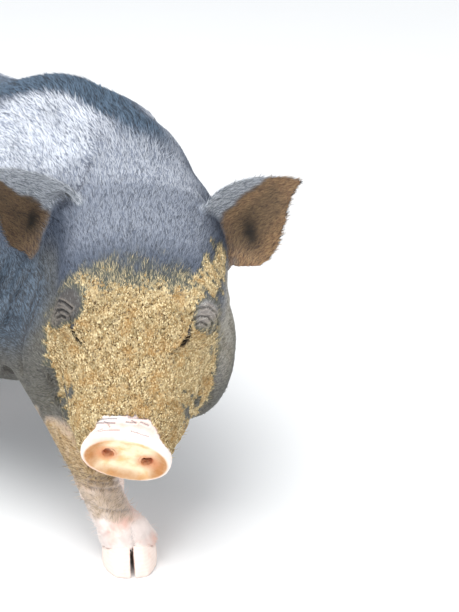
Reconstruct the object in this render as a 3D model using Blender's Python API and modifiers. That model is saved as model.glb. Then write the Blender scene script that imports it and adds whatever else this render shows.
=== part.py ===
"""A pot-bellied pig, life size, standing still with its head lowered and turned to its right.

Metres, +Z up. The pig heads towards -Y, and its left side is +X. The flesh is modelled whole, from lofted
sections and rounded swellings that a voxel remesh melts together, and is then parted by thin cuts into
torso, neck, head, snout and legs. Ears, eyes, tail and hooves are made on their own and set against it.
"""
import math
import random

import bmesh
import bpy
import numpy as np
from mathutils import Matrix, Vector

# Gap between touching pieces, and the grain of the flesh while it is modelled
GAP = 0.0003
GRAIN = 0.0048
SMOOTHING = 9
FLESH_TRIANGLES = 5060
FINE_LEVELS = 5
FINE_SHARE = 0.5
FINE_FACTOR = 0.15

# A cut that leaves a smaller share of the faces than this has failed
LEAST_LEFT = 0.1

# Torso sections: along Y, height of the back, height of the belly, half width, squareness of the back
TORSO = (
    (-0.330, 0.285, 0.185, 0.062, 1.90),
    (-0.300, 0.360, 0.150, 0.100, 1.72),
    (-0.250, 0.424, 0.124, 0.130, 1.60),
    (-0.190, 0.445, 0.104, 0.156, 1.66),
    (-0.100, 0.418, 0.082, 0.177, 2.05),
    (0.000, 0.396, 0.064, 0.190, 2.20),
    (0.110, 0.390, 0.070, 0.189, 2.15),
    (0.210, 0.396, 0.096, 0.174, 2.10),
    (0.300, 0.401, 0.124, 0.158, 2.10),
    (0.370, 0.388, 0.160, 0.128, 2.05),
    (0.412, 0.350, 0.215, 0.070, 2.00),
)
BELLY_SQUARE = 2.25

# Swellings of the body: middle and radii
BODY_MIDDLE = (
    ("rump", (0, 0.315, 0.282), (0.128, 0.112, 0.120)),
    ("brisket", (0, -0.275, 0.192), (0.102, 0.080, 0.076)),
    ("belly", (0, 0.030, 0.170), (0.180, 0.220, 0.112)),
)
# The stretched side of the turned neck stands out in a round hump over the left shoulder
BODY_LEFT = (
    ("neck_hump", (0.029, -0.264, 0.311), (0.090, 0.079, 0.106)),
    ("shoulder_hump", (0.039, -0.205, 0.324), (0.088, 0.085, 0.100)),
)
BODY_SIDES = (
    ("shoulder", (0.088, -0.215, 0.245), (0.074, 0.096, 0.110)),
    ("ham", (0.092, 0.285, 0.250), (0.078, 0.115, 0.120)),
)

# The head's own frame: F runs forward along the mouth, S to the pig's left, U up.
# Its origin is between the ear roots. The head turns to the pig's right and points down.
HEAD_PLACE = Vector((0.020, -0.330, 0.272))
HEAD_TURN = math.radians(36)
HEAD_PITCH = math.radians(29)
HEAD_ROLL = math.radians(-2)

# Head sections: along F, middle height, half width, rise above the middle, drop below it
HEAD = (
    (-0.085, 0.000, 0.066, 0.066, 0.096),
    (-0.045, 0.000, 0.082, 0.083, 0.118),
    (0.000, -0.002, 0.089, 0.091, 0.126),
    (0.045, -0.006, 0.088, 0.088, 0.122),
    (0.080, -0.014, 0.086, 0.076, 0.106),
    (0.118, -0.024, 0.074, 0.059, 0.086),
    (0.150, -0.032, 0.062, 0.050, 0.068),
    (0.182, -0.038, 0.052, 0.046, 0.053),
    (0.207, -0.039, 0.046, 0.041, 0.040),
)
HEAD_SQUARE = 2.25

# Jowls: the right one is pressed out by the turned neck
JOWL_LEFT = ((0.058, 0.055, -0.058), (0.086, 0.046, 0.056))
JOWL_RIGHT = ((0.052, -0.074, -0.050), (0.086, 0.051, 0.062))

# Swellings of the face: middle, radii and, for those on the middle line, tilt in degrees
FACE_MIDDLE = (
    ("lower_jaw", (0.106, 0, -0.096), (0.080, 0.040, 0.026), -9),
    ("chin", (0.164, 0, -0.084), (0.026, 0.024, 0.018), 0),
    ("throat", (0.010, 0, -0.100), (0.085, 0.062, 0.048), 0),
    ("nose_bridge", (0.135, 0, -0.004), (0.056, 0.028, 0.018), 0),
)
FACE_SIDES = (
    ("cheekbone", (0.062, 0.058, 0.006), (0.056, 0.037, 0.040)),
    ("brow", (0.062, 0.043, 0.037), (0.050, 0.040, 0.022)),
    ("upper_lip", (0.146, 0.033, -0.052), (0.050, 0.028, 0.026)),
)

# Room that parts the head off, level and upright: distance ahead of the ears, half width, rise, drop
HEAD_ROOM = (
    (-0.032, 0.142, 0.170, 0.120),
    (0.030, 0.142, 0.170, 0.170),
    (0.110, 0.142, 0.170, 0.210),
    (0.300, 0.142, 0.170, 0.260),
)
# The upright plane between neck and torso, turned part of the way to the head
NECK_CUT = Vector((0.0, -0.212, 0.0))
NECK_CUT_TURN = math.radians(22)
# The neck's middle line, from between the shoulders (world) to behind the ears (head's frame),
# with half width, rise, drop and squareness of the top at both ends
NECK_START = (-0.002, -0.230, 0.287)
NECK_FACING = (0, -1, -0.10)
NECK_END = (-0.030, 0, -0.004)
NECK_START_SIZE = (0.122, 0.140, 0.160, 1.60)
NECK_END_SIZE = (0.090, 0.086, 0.122, 1.95)
NECK_STEPS = 9
# How far the middle of the neck bows to the left, and narrows with it
NECK_BOW = 0.012

# Snout disc
DISC_HALF_WIDTH = 0.0435
DISC_RISE = 0.033
DISC_DROP = 0.030
DISC_FRONT = 0.222
DISC_BACK = 0.206
DISC_MIDDLE = -0.040
DISC_TILT = math.radians(-15)
DISC_ASIDE = 0.003
NOSTRIL_APART = 0.0197
NOSTRIL_ASIDE = 0.0013
NOSTRIL_RADII = (0.014, 0.0060, 0.0068)

# The line of the mouth, from its left corner to the middle
MOUTH = (
    (0.094, 0.080, -0.070),
    (0.125, 0.062, -0.080),
    (0.160, 0.046, -0.079),
    (0.184, 0.028, -0.075),
    (0.193, 0.000, -0.073),
)
MOUTH_RADIUS = 0.0026

# Eyes
EYE_RADIUS = 0.0105
EYE_PLACE = (0.105, 0.0525, 0.0235)
# Each eye looks along EYE_FACING, and its slit runs along EYE_SLIT, down towards the snout
EYE_FACING = Vector((0.62, 0.55, 0.56))
EYE_SLIT = Vector((0.78, -0.41, -0.42))
LID_RADII = (0.0145, 0.0200, 0.0150)
SLIT_RADII = (0.0120, 0.0125, 0.0030)
SLIT_AHEAD = 0.0095

# Ears: root and tip in the head's frame, half width and depth of the cup
EAR_ROOT = Vector((-0.006, 0.079, 0.038))
EAR_TIPS = {1: Vector((-0.036, 0.157, 0.090)), -1: Vector((-0.014, 0.152, 0.108))}
# The deep fold that the right ear stands in, open ahead: place along F, half width and half height
FOLD_MIDDLE = (0.0, -0.190, 0.062)
EAR_FOLD = (
    (-0.040, 0.060, 0.030),
    (-0.034, 0.088, 0.048),
    (-0.020, 0.104, 0.062),
    (0.020, 0.114, 0.070),
    (0.120, 0.124, 0.090),
)
EAR_FACING = Vector((0.86, 0.10, 0.30))
EAR_EDGE = 0.0024
# Sections of the leaf: share of the length, half width, depth of the cup, thickness in the middle, and
# how much wider the lower half is, which hangs in a lobe at the root and runs in to a slim point
EAR_LEAF = (
    (-0.12, 0.028, 0.026, 0.0100, 1.25),
    (0.05, 0.0345, 0.024, 0.0085, 1.42),
    (0.20, 0.0410, 0.021, 0.0070, 1.30),
    (0.40, 0.0405, 0.016, 0.0058, 1.08),
    (0.60, 0.0335, 0.010, 0.0048, 0.86),
    (0.80, 0.0215, 0.005, 0.0040, 0.50),
    (0.93, 0.0105, 0.002, 0.0034, 0.42),
    (1.00, 0.0022, 0.000, 0.0030, 1.00),
)

FOLD_EASED_AT = (0.0, -0.150, 0.062)
FOLD_EASED = 0.13
FOLD_SMOOTHING = 24
# The hump of the neck is smoothed more than the rest, and keeps more of its faces
HUMP_MIDDLE = (0.045, -0.245, 0.375)
HUMP_REACH = 0.170
HUMP_SMOOTHING = 60
HUMP_FINE = 0.55

# Folds of the skin in the head's frame: path, width and depth
FOLDS = (
    # Behind the left cheek, and behind the right one
    (((-0.052, 0.060, 0.075), (-0.040, 0.104, 0.020), (-0.025, 0.108, -0.060), (0.005, 0.070, -0.125)),
     0.0085, 0.0090),
    (((-0.005, -0.110, 0.008), (0.010, -0.126, -0.030), (0.030, -0.126, -0.070), (0.055, -0.100, -0.108),
      (0.070, -0.050, -0.125)), 0.0085, 0.0110),
    # Where the neck bends behind the right ear
    (((-0.020, -0.088, 0.072), (-0.040, -0.070, 0.086), (-0.070, -0.052, 0.094)), 0.0090, 0.0085),
    # Down each cheek from the ear
    (((0.020, 0.088, 0.000), (0.045, 0.096, -0.025), (0.062, 0.100, -0.060)), 0.0060, 0.0035),
    (((0.020, -0.092, 0.000), (0.045, -0.108, -0.020), (0.068, -0.112, -0.055)), 0.0060, 0.0040),
    # In front of each jowl, from below the eye
    (((0.108, 0.062, -0.010), (0.118, 0.066, -0.040), (0.120, 0.060, -0.068)), 0.0070, 0.0050),
    (((0.108, -0.062, -0.010), (0.118, -0.068, -0.040), (0.120, -0.064, -0.068)), 0.0070, 0.0050),
)

# Legs: level sections from the shoulder or hip down, as place, half width and half depth along the body
FORE_LEFT = (
    ((0.090, -0.205, 0.300), 0.045, 0.070),
    ((0.108, -0.190, 0.220), 0.054, 0.072),
    ((0.108, -0.162, 0.155), 0.039, 0.047),
    ((0.100, -0.148, 0.097), 0.0285, 0.0315),
    ((0.096, -0.142, 0.060), 0.0262, 0.0285),
    ((0.095, -0.150, 0.036), 0.0295, 0.0310),
    ((0.095, -0.154, 0.016), 0.0180, 0.0190),
)
FORE_RIGHT = (
    ((-0.080, -0.210, 0.290), 0.045, 0.066),
    ((-0.084, -0.258, 0.220), 0.045, 0.060),
    ((-0.078, -0.318, 0.160), 0.034, 0.046),
    ((-0.076, -0.376, 0.108), 0.0262, 0.0340),
    ((-0.070, -0.404, 0.064), 0.0225, 0.0270),
    ((-0.062, -0.423, 0.036), 0.0245, 0.0270),
    ((-0.057, -0.432, 0.016), 0.0180, 0.0190),
)
HIND_LEFT = (
    ((0.084, 0.275, 0.300), 0.060, 0.095),
    ((0.106, 0.265, 0.215), 0.060, 0.092),
    ((0.106, 0.300, 0.155), 0.039, 0.054),
    ((0.100, 0.334, 0.105), 0.0280, 0.0360),
    ((0.096, 0.324, 0.062), 0.0255, 0.0285),
    ((0.095, 0.312, 0.036), 0.0290, 0.0310),
    ((0.095, 0.308, 0.016), 0.0180, 0.0190),
)
HIND_RIGHT_STEP = 0.085
LEG_ROOM = 0.012

# Toes of one foot: height, how far the front and the heel reach, and width, for each of the two
TOES = (
    (-0.010, 0.0465, 0.0255, 0.0285),
    (0.000, 0.0445, 0.0265, 0.0290),
    (0.012, 0.0400, 0.0275, 0.0290),
    (0.026, 0.0305, 0.0260, 0.0275),
    (0.040, 0.0205, 0.0215, 0.0235),
    (0.052, 0.0090, 0.0120, 0.0160),
)
CLEFT_PLACE = (0.0, 0.016, -0.002)
CLEFT_RADII = (0.0024, 0.042, 0.036)
CORONET_FRONT = 0.027
CORONET_SLOPE = 0.30
DEWCLAW = ((-0.012, 0.0080), (0.002, 0.0092), (0.013, 0.0070), (0.019, 0.0026))
DEWCLAW_APART = 0.0145
DEWCLAW_BEHIND = 0.88
DEWCLAW_LEAN = 0.35
DEWCLAW_JOINT = -3
FOOT_TURNS = {"foreleg_left": 4, "foreleg_right": -24, "hind_leg_left": 6, "hind_leg_right": -6}

# Tail
TAIL_PATH = (
    (0.000, 0.395, 0.352, 0.0170),
    (0.000, 0.430, 0.345, 0.0140),
    (0.006, 0.450, 0.310, 0.0100),
    (0.012, 0.455, 0.262, 0.0075),
    (0.016, 0.452, 0.215, 0.0056),
    (0.018, 0.449, 0.185, 0.0042),
)
SWITCH_LOCKS = 22
SWITCH_LENGTH = 0.085
LOCK_WIDTH = 0.0046
LOCK_THICKNESS = 0.0017
LOCK_SHAPE = ((0.0, 0.55), (0.25, 1.0), (0.6, 0.75), (0.88, 0.35), (1.0, 0.16))
GOLDEN_TURN = math.radians(137.5)

SKIN_COLOUR = (0.075, 0.078, 0.088)
PALE_COLOUR = (0.78, 0.62, 0.54)
DISC_COLOUR = (0.88, 0.62, 0.48)
HOOF_COLOUR = (0.62, 0.52, 0.42)
EYE_COLOUR = (0.03, 0.02, 0.015)
EAR_COLOUR = (0.20, 0.13, 0.09)


# Scene, materials and small tools


def clear_scene():
    for thing in list(bpy.data.objects):
        bpy.data.objects.remove(thing)
    for name in ("pig", "guides"):
        group = bpy.data.collections.new(name)
        bpy.context.scene.collection.children.link(group)
    bpy.data.collections["guides"].hide_render = True


def finish(name, colour, roughness):
    found = bpy.data.materials.get(name)
    if found is None:
        found = bpy.data.materials.new(name)
        found.use_nodes = True
        shader = found.node_tree.nodes["Principled BSDF"]
        shader.inputs["Base Color"].default_value = (*colour, 1.0)
        shader.inputs["Roughness"].default_value = roughness
        shader.inputs["Metallic"].default_value = 0.0
    return found


def guide(name, mesh):
    """A working solid, which the finished pig doesn't keep."""
    thing = bpy.data.objects.new(name, mesh)
    thing.display_type = "WIRE"
    thing.hide_render = True
    bpy.data.collections["guides"].objects.link(thing)
    return thing


def keep(thing, name, material):
    """Makes a working solid one of the pig's named pieces."""
    thing.name = name
    thing.data.name = name
    thing.display_type = "TEXTURED"
    thing.hide_render = False
    bpy.data.collections["guides"].objects.unlink(thing)
    bpy.data.collections["pig"].objects.link(thing)
    thing.data.materials.clear()
    thing.data.materials.append(material)
    thing.data.shade_smooth()
    thing.data.set_sharp_from_angle(angle=math.radians(40))
    return thing


def baked(thing):
    """The same object with its modifiers made real."""
    graph = bpy.context.evaluated_depsgraph_get()
    mesh = bpy.data.meshes.new_from_object(thing.evaluated_get(graph))
    thing.modifiers.clear()
    thing.data = mesh
    return thing


def closed(mesh):
    """True where every edge of the mesh is shared by two faces."""
    frame = bmesh.new()
    frame.from_mesh(mesh)
    good = all(len(edge.link_faces) == 2 for edge in frame.edges)
    frame.free()
    return good


def cut(body, cutter, how):
    """A Boolean by the exact solver, or by the manifold one where that leaves holes or hardly a face."""
    start = body.data
    for solver in ("EXACT", "MANIFOLD"):
        body.data = start.copy()
        tool = body.modifiers.new("cut", "BOOLEAN")
        tool.operation = how
        tool.object = cutter
        tool.solver = solver
        baked(body)
        if len(body.data.polygons) > LEAST_LEFT * len(start.polygons) and closed(body.data):
            break
    return largest(body)


def copy_of(thing, name, growth=0.0):
    """A copy, grown along its normals by the given amount."""
    mesh = thing.data.copy()
    if growth:
        frame = bmesh.new()
        frame.from_mesh(mesh)
        frame.normal_update()
        moves = [(v, v.normal * growth) for v in frame.verts]
        for v, step in moves:
            v.co += step
        frame.to_mesh(mesh)
        frame.free()
    return guide(name, mesh)


def largest(body):
    """Keeps only the largest closed surface of a mesh."""
    frame = bmesh.new()
    frame.from_mesh(body.data)
    frame.faces.ensure_lookup_table()
    seen = set()
    shells = []
    for face in frame.faces:
        if face in seen:
            continue
        shell = [face]
        seen.add(face)
        for member in shell:
            for edge in member.edges:
                for other in edge.link_faces:
                    if other not in seen:
                        seen.add(other)
                        shell.append(other)
        shells.append(shell)
    shells.sort(key=lambda shell: -sum(f.calc_area() for f in shell))
    for shell in shells[1:]:
        bmesh.ops.delete(frame, geom=shell, context="FACES")
    frame.to_mesh(body.data)
    frame.free()
    return body


def part_off(body, block, name):
    """Takes what lies inside the block off the body, leaving the gap between the two."""
    piece = cut(copy_of(body, name), block, "INTERSECT")
    cut(body, copy_of(block, name + "_room", GAP), "DIFFERENCE")
    return piece


# Shapes


def ring(centre, side, up, half_width, rise, drop, square, count=36, top_square=None):
    """A rounded section, whose top and bottom halves have their own heights and squareness."""
    points = []
    for step in range(count):
        angle = 2 * math.pi * step / count
        tall = math.sin(angle)
        power = 2 / (top_square if top_square and tall > 0 else square)
        across = math.copysign(abs(math.cos(angle)) ** power, math.cos(angle))
        height = math.copysign(abs(tall) ** power, tall) * (rise if tall > 0 else drop)
        points.append(centre + side * (across * half_width) + up * height)
    return points


def loft(name, rings):
    """A closed skin over a row of rings, with a fan over each end."""
    frame = bmesh.new()
    rows = [[frame.verts.new(p) for p in points] for points in rings]
    count = len(rows[0])
    for low, high in zip(rows, rows[1:]):
        for i in range(count):
            j = (i + 1) % count
            frame.faces.new((low[i], low[j], high[j], high[i]))
    for row in (rows[0], rows[-1]):
        hub = frame.verts.new(sum((v.co for v in row), Vector()) / count)
        for i in range(count):
            frame.faces.new((row[i], row[(i + 1) % count], hub))
    bmesh.ops.triangulate(frame, faces=frame.faces)
    bmesh.ops.recalc_face_normals(frame, faces=frame.faces)
    mesh = bpy.data.meshes.new(name)
    frame.to_mesh(mesh)
    frame.free()
    return guide(name, mesh)


def blob(name, centre, radii, turn=None, frame=None, segments=24):
    """An ellipsoid, turned and set in a frame."""
    body = bmesh.new()
    bmesh.ops.create_uvsphere(body, u_segments=segments, v_segments=segments * 2 // 3, radius=1.0)
    place = Matrix.Translation(centre) @ (turn or Matrix()) @ Matrix.Diagonal((*radii, 1.0))
    body.transform((frame or Matrix()) @ place)
    mesh = bpy.data.meshes.new(name)
    body.to_mesh(mesh)
    body.free()
    return guide(name, mesh)


def block(name, low, high, frame=None):
    body = bmesh.new()
    bmesh.ops.create_cube(body, size=1.0)
    middle = (Vector(low) + Vector(high)) / 2
    size = Vector(high) - Vector(low)
    body.transform((frame or Matrix()) @ Matrix.Translation(middle) @ Matrix.Diagonal((*size, 1.0)))
    mesh = bpy.data.meshes.new(name)
    body.to_mesh(mesh)
    body.free()
    return guide(name, mesh)


def smooth_rows(rows, between):
    """Rows of numbers joined by a smooth curve through them, with steps added between."""
    rows = [np.array(row, float) for row in rows]
    rows = [2 * rows[0] - rows[1], *rows, 2 * rows[-1] - rows[-2]]
    out = []
    for a, b, c, d in zip(rows, rows[1:], rows[2:], rows[3:]):
        for step in range(between):
            t = step / between
            out.append(0.5 * (2 * b + (c - a) * t + (2 * a - 5 * b + 4 * c - d) * t * t
                              + (3 * b - a - 3 * c + d) * t ** 3))
    out.append(rows[-2])
    return out


def limb(name, joints, room=0.0, between=3, count=20):
    """A leg: level oval sections, wider all round by the room asked for."""
    rows = smooth_rows([(*place, wide, deep) for place, wide, deep in joints], between)
    side = Vector((1, 0, 0))
    front = Vector((0, -1, 0))
    rings = [ring(Vector(row[:3]), side, front, row[3] + room, row[4] + room, row[4] + room, 2.1, count)
             for row in rows]
    return loft(name, rings)


def tube(name, path, radius, sides=2):
    """A round rod along a path, as a mesh."""
    curve = bpy.data.curves.new(name, "CURVE")
    curve.dimensions = "3D"
    curve.bevel_depth = radius
    curve.bevel_resolution = sides
    curve.use_fill_caps = True
    line = curve.splines.new("POLY")
    line.points.add(len(path) - 1)
    for point, place in zip(line.points, path):
        point.co = (*place[:3], 1.0)
        point.radius = place[3] / radius if len(place) > 3 else 1.0
    thing = guide(name, curve)
    graph = bpy.context.evaluated_depsgraph_get()
    mesh = bpy.data.meshes.new_from_object(thing.evaluated_get(graph))
    bpy.data.objects.remove(thing)
    frame = bmesh.new()
    frame.from_mesh(mesh)
    bmesh.ops.remove_doubles(frame, verts=frame.verts, dist=0.00001)
    bmesh.ops.recalc_face_normals(frame, faces=frame.faces)
    frame.to_mesh(mesh)
    frame.free()
    return guide(name, mesh)


def joined(name, pieces):
    """One mesh object that holds several meshes."""
    frame = bmesh.new()
    for piece in pieces:
        frame.from_mesh(piece.data)
    mesh = bpy.data.meshes.new(name)
    frame.to_mesh(mesh)
    frame.free()
    return guide(name, mesh)


def melted(name, pieces, grain, smoothing):
    """Overlapping solids melted into one skin of even grain."""
    body = joined(name, pieces)
    remesh = body.modifiers.new("melt", "REMESH")
    remesh.mode = "VOXEL"
    remesh.voxel_size = grain
    relax = body.modifiers.new("relax", "SMOOTH")
    relax.factor = 0.5
    relax.iterations = smoothing
    return largest(baked(body))


def eased(body, centre, reach, rounds):
    """Smooths the skin further within reach of a place, less towards the edge."""
    far = np.linalg.norm(points_of(body) - np.array(centre), axis=1) / reach
    group = body.vertex_groups.new(name="eased")
    for level in range(1, 5):
        chosen = np.nonzero((np.clip(2 - 2 * far, 0, 1) * 4).round() == level)[0]
        group.add([int(i) for i in chosen], level / 4, "REPLACE")
    relax = body.modifiers.new("ease", "SMOOTH")
    relax.factor = 0.5
    relax.iterations = rounds
    relax.vertex_group = "eased"
    baked(body)
    body.vertex_groups.clear()
    return body


# Pushing and creasing the skin


def points_of(body):
    flat = np.empty(len(body.data.vertices) * 3)
    body.data.vertices.foreach_get("co", flat)
    return flat.reshape(-1, 3)


def normals_of(body):
    flat = np.empty(len(body.data.vertices) * 3)
    body.data.vertex_normals.foreach_get("vector", flat)
    return flat.reshape(-1, 3)


def move_points(body, points):
    body.data.vertices.foreach_set("co", points.ravel())
    body.data.update()


def on_skin(body, path, frame):
    """A smooth line through places near the skin, laid on it."""
    rows = smooth_rows([frame @ Vector(p) for p in path], 3)
    return [body.closest_point_on_mesh(Vector(row))[1] for row in rows]


def crease(body, path, width, depth, frame):
    """Presses a fold into the skin along a line, shallow at its ends."""
    line = np.array(on_skin(body, path, frame))
    points = points_of(body)
    best = np.full(len(points), 1e9)
    share = np.zeros(len(points))
    for i, (a, b) in enumerate(zip(line, line[1:])):
        run = b - a
        t = np.clip(((points - a) @ run) / (run @ run), 0, 1)
        far = np.linalg.norm(points - a - t[:, None] * run, axis=1)
        nearer = far < best
        best = np.where(nearer, far, best)
        share = np.where(nearer, (i + t) / (len(line) - 1), share)
    ends = np.sin(np.pi * np.clip(share, 0.02, 0.98)) ** 0.5
    weight = np.exp(-((best / width) ** 2)) * ends
    move_points(body, points - normals_of(body) * (weight * depth)[:, None])


# The head's frame


def head_frame():
    """Columns are F, S and U, so that head places are written (F, S, U)."""
    heading = Vector((-math.sin(HEAD_TURN), -math.cos(HEAD_TURN), 0))
    forward = heading * math.cos(HEAD_PITCH) + Vector((0, 0, -math.sin(HEAD_PITCH)))
    up = heading * math.sin(HEAD_PITCH) + Vector((0, 0, math.cos(HEAD_PITCH)))
    roll = Matrix.Rotation(HEAD_ROLL, 3, forward)
    up = roll @ up
    left = up.cross(forward)
    frame = Matrix((forward, left, up)).transposed().to_4x4()
    frame.translation = HEAD_PLACE
    return frame


def mirrored(place, side):
    return Vector((place[0], place[1] * side, place[2]))


# Flesh


def torso_form():
    rings = []
    for along, back, belly, wide, top_square in smooth_rows(TORSO, 3):
        middle = belly + 0.46 * (back - belly)
        centre = Vector((0, along, middle))
        rings.append(ring(centre, Vector((1, 0, 0)), Vector((0, 0, 1)), wide, back - middle,
                          middle - belly, BELLY_SQUARE, 40, top_square))
    return loft("torso_form", rings)


def head_form(frame):
    side = frame.to_3x3() @ Vector((0, 1, 0))
    up = frame.to_3x3() @ Vector((0, 0, 1))
    rings = []
    for along, middle, wide, rise, drop in smooth_rows(HEAD, 3):
        centre = frame @ Vector((along, 0, middle))
        rings.append(ring(centre, side, up, wide, rise, drop, HEAD_SQUARE))
    return loft("head_form", rings)


def neck_form(frame):
    """Sections that turn from the shoulders' facing to the head's."""
    facing = frame.to_3x3() @ Vector((1, 0, 0))
    end = frame @ Vector(NECK_END)
    rings = []
    for step in range(NECK_STEPS):
        t = step / (NECK_STEPS - 1)
        bow = NECK_BOW * math.sin(math.pi * t)
        centre = Vector(NECK_START).lerp(end, t) + Vector((bow, 0, 0))
        ahead = Vector(NECK_FACING).lerp(facing, t).normalized()
        side = ahead.cross(Vector((0, 0, 1))).normalized()
        up = side.cross(ahead)
        wide, rise, drop, top_square = (a + (b - a) * t for a, b in zip(NECK_START_SIZE, NECK_END_SIZE))
        rings.append(ring(centre, side, up, wide - bow, rise, drop, BELLY_SQUARE, 36, top_square))
    return loft("neck_form", rings)


def face_forms(frame):
    """Jowls, cheekbones, brows, lids, lips and lower jaw."""
    forms = [blob(name, centre, radii, Matrix.Rotation(math.radians(tilt), 4, "Y"), frame)
             for name, centre, radii, tilt in FACE_MIDDLE]
    for side, jowl in ((1, JOWL_LEFT), (-1, JOWL_RIGHT)):
        forms.append(blob("lid", mirrored(EYE_PLACE, side), LID_RADII, eye_turn(side), frame))
        forms.append(blob("jowl", *jowl, None, frame))
        forms += [blob(name, mirrored(centre, side), radii, None, frame)
                  for name, centre, radii in FACE_SIDES]
    return forms


def body_forms():
    """Rump, belly and brisket, hams and shoulders."""
    forms = [blob(name, centre, radii) for name, centre, radii in BODY_MIDDLE + BODY_LEFT]
    for side in (-1, 1):
        forms += [blob(name, (centre[0] * side, *centre[1:]), radii) for name, centre, radii in BODY_SIDES]
    return forms


def hind_right():
    joints = []
    for i, (place, wide, deep) in enumerate(HIND_LEFT):
        step = HIND_RIGHT_STEP * max(0, i - 1) / (len(HIND_LEFT) - 2)
        joints.append(((-place[0], place[1] + step, place[2]), wide, deep))
    return tuple(joints)


LEGS = {
    "foreleg_left": FORE_LEFT,
    "foreleg_right": FORE_RIGHT,
    "hind_leg_left": HIND_LEFT,
    "hind_leg_right": hind_right(),
}


def ear_fold(frame):
    """What the turned head folds away between the right ear and the shoulder."""
    side = frame.to_3x3() @ Vector((0, 1, 0))
    up = frame.to_3x3() @ Vector((0, 0, 1))
    rings = []
    for ahead, wide, tall in smooth_rows(EAR_FOLD, 2):
        centre = frame @ (Vector(FOLD_MIDDLE) + Vector((ahead, 0, 0)))
        rings.append(ring(centre, side, up, wide, tall, tall, 2.5))
    return loft("ear_fold", rings)


def flesh(frame):
    forms = [torso_form(), neck_form(frame), head_form(frame), *face_forms(frame), *body_forms()]
    forms += [limb(name + "_form", joints) for name, joints in LEGS.items()]
    forms += [toe_form(side, foot_frame(name)) for name in LEGS for side in (-1, 1)]
    body = melted("flesh", forms, GRAIN, 2)
    cut(body, ear_fold(frame), "DIFFERENCE")
    body = melted("flesh", [body], GRAIN, SMOOTHING)
    eased(body, HUMP_MIDDLE, HUMP_REACH, HUMP_SMOOTHING)
    return eased(body, frame @ Vector(FOLD_EASED_AT), FOLD_EASED, FOLD_SMOOTHING)


def stand(body):
    """Cuts the feet level with the floor and cleaves each into two toes."""
    cut(body, block("floor", (-1, -1, -0.5), (1, 1, 0)), "DIFFERENCE")
    for name in LEGS:
        cut(body, blob("cleft", CLEFT_PLACE, CLEFT_RADII, None, foot_frame(name)), "DIFFERENCE")
    return body


def fold_flesh(body, frame):
    """The folds that show from a step away, as paths in the head's frame with their width and depth."""
    for path, width, depth in FOLDS:
        crease(body, path, width, depth, frame)
    return body


def thinned(body, triangles, frame):
    """Fewer triangles, with the most of them kept for the head."""
    points = points_of(body)
    back = np.array(frame.inverted())
    local = points @ back[:3, :3].T + back[:3, 3]
    ahead = np.clip((local[:, 0] + 0.06) / 0.10, 0, 1) * (np.abs(local[:, 1]) < 0.13) * (local[:, 2] > -0.13)
    ahead = np.maximum(ahead, np.clip((0.075 - points[:, 2]) / 0.02, 0, 1) * (points[:, 2] < 0.075))
    hump = np.linalg.norm(points - np.array(HUMP_MIDDLE), axis=1) / HUMP_REACH
    ahead = np.maximum(ahead, HUMP_FINE * np.clip(2.4 - 2.4 * hump, 0, 1))
    group = body.vertex_groups.new(name="coarse")
    for level in range(FINE_LEVELS):
        chosen = np.nonzero((ahead * (FINE_LEVELS - 1)).round() == level)[0]
        group.add([int(i) for i in chosen], 1 - FINE_SHARE * level / (FINE_LEVELS - 1), "REPLACE")
    count = sum(len(p.vertices) - 2 for p in body.data.polygons)
    tool = body.modifiers.new("thin", "DECIMATE")
    tool.ratio = triangles / count
    tool.vertex_group = "coarse"
    tool.vertex_group_factor = FINE_FACTOR
    baked(body)
    body.vertex_groups.clear()
    return body


# Eyes, ears, snout, mouth


def eye_turn(side):
    """X looks out of the eye, Y runs along its slit."""
    out = mirrored(EYE_FACING, side).normalized()
    along = mirrored(EYE_SLIT, side)
    along = (along - out * along.dot(out)).normalized()
    return Matrix((out, along, out.cross(along))).transposed().to_4x4()


def lids(head, frame):
    """Hollows each lid mound for its eyeball and opens it by a slanting slit."""
    for name, side in (("eye_left", 1), ("eye_right", -1)):
        place = mirrored(EYE_PLACE, side)
        turn = eye_turn(side)
        ahead = place + turn.to_3x3() @ Vector((SLIT_AHEAD, 0, 0))
        room = blob("socket", place, (EYE_RADIUS + GAP,) * 3, turn, frame, 18)
        cut(room, blob("slit", ahead, SLIT_RADII, turn, frame, 18), "UNION")
        cut(head, room, "DIFFERENCE")
        ball = blob(name, place, (EYE_RADIUS,) * 3, turn, frame, 14)
        keep(ball, name, finish("eye", EYE_COLOUR, 0.08))


def ear_turn(side):
    """Columns: along the ear, the way its cup faces, and across it."""
    along = mirrored(EAR_TIPS[side] - EAR_ROOT, side).normalized()
    facing = mirrored(EAR_FACING, side)
    facing = (facing - along * facing.dot(along)).normalized()
    return Matrix((along, facing, along.cross(facing))).transposed().to_4x4()


def ear_form(side, frame):
    """A cupped leaf: crescent sections from a deep root to a pointed tip."""
    root = mirrored(EAR_ROOT, side)
    along, facing, across = (Vector(column[:3]) for column in ear_turn(side).transposed()[:3])
    length = (EAR_TIPS[side] - EAR_ROOT).length
    rings = []
    half = 8
    for share, wide, deep, wall, lobe in smooth_rows(EAR_LEAF, 2):
        centre = root + along * (length * share)
        front, back = [], []
        for i in range(half + 1):
            s = -1 + 2 * i / half
            hollow = deep * (1 - s * s)
            thick = EAR_EDGE + (wall - EAR_EDGE) * (1 - s * s)
            spot = centre + across * (wide * s * (lobe if s * side > 0 else 1)) - facing * hollow
            front.append(frame @ (spot + facing * (thick / 2)))
            back.append(frame @ (spot - facing * (thick / 2)))
        rings.append(front + back[::-1])
    return loft("ear_form", rings)


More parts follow.
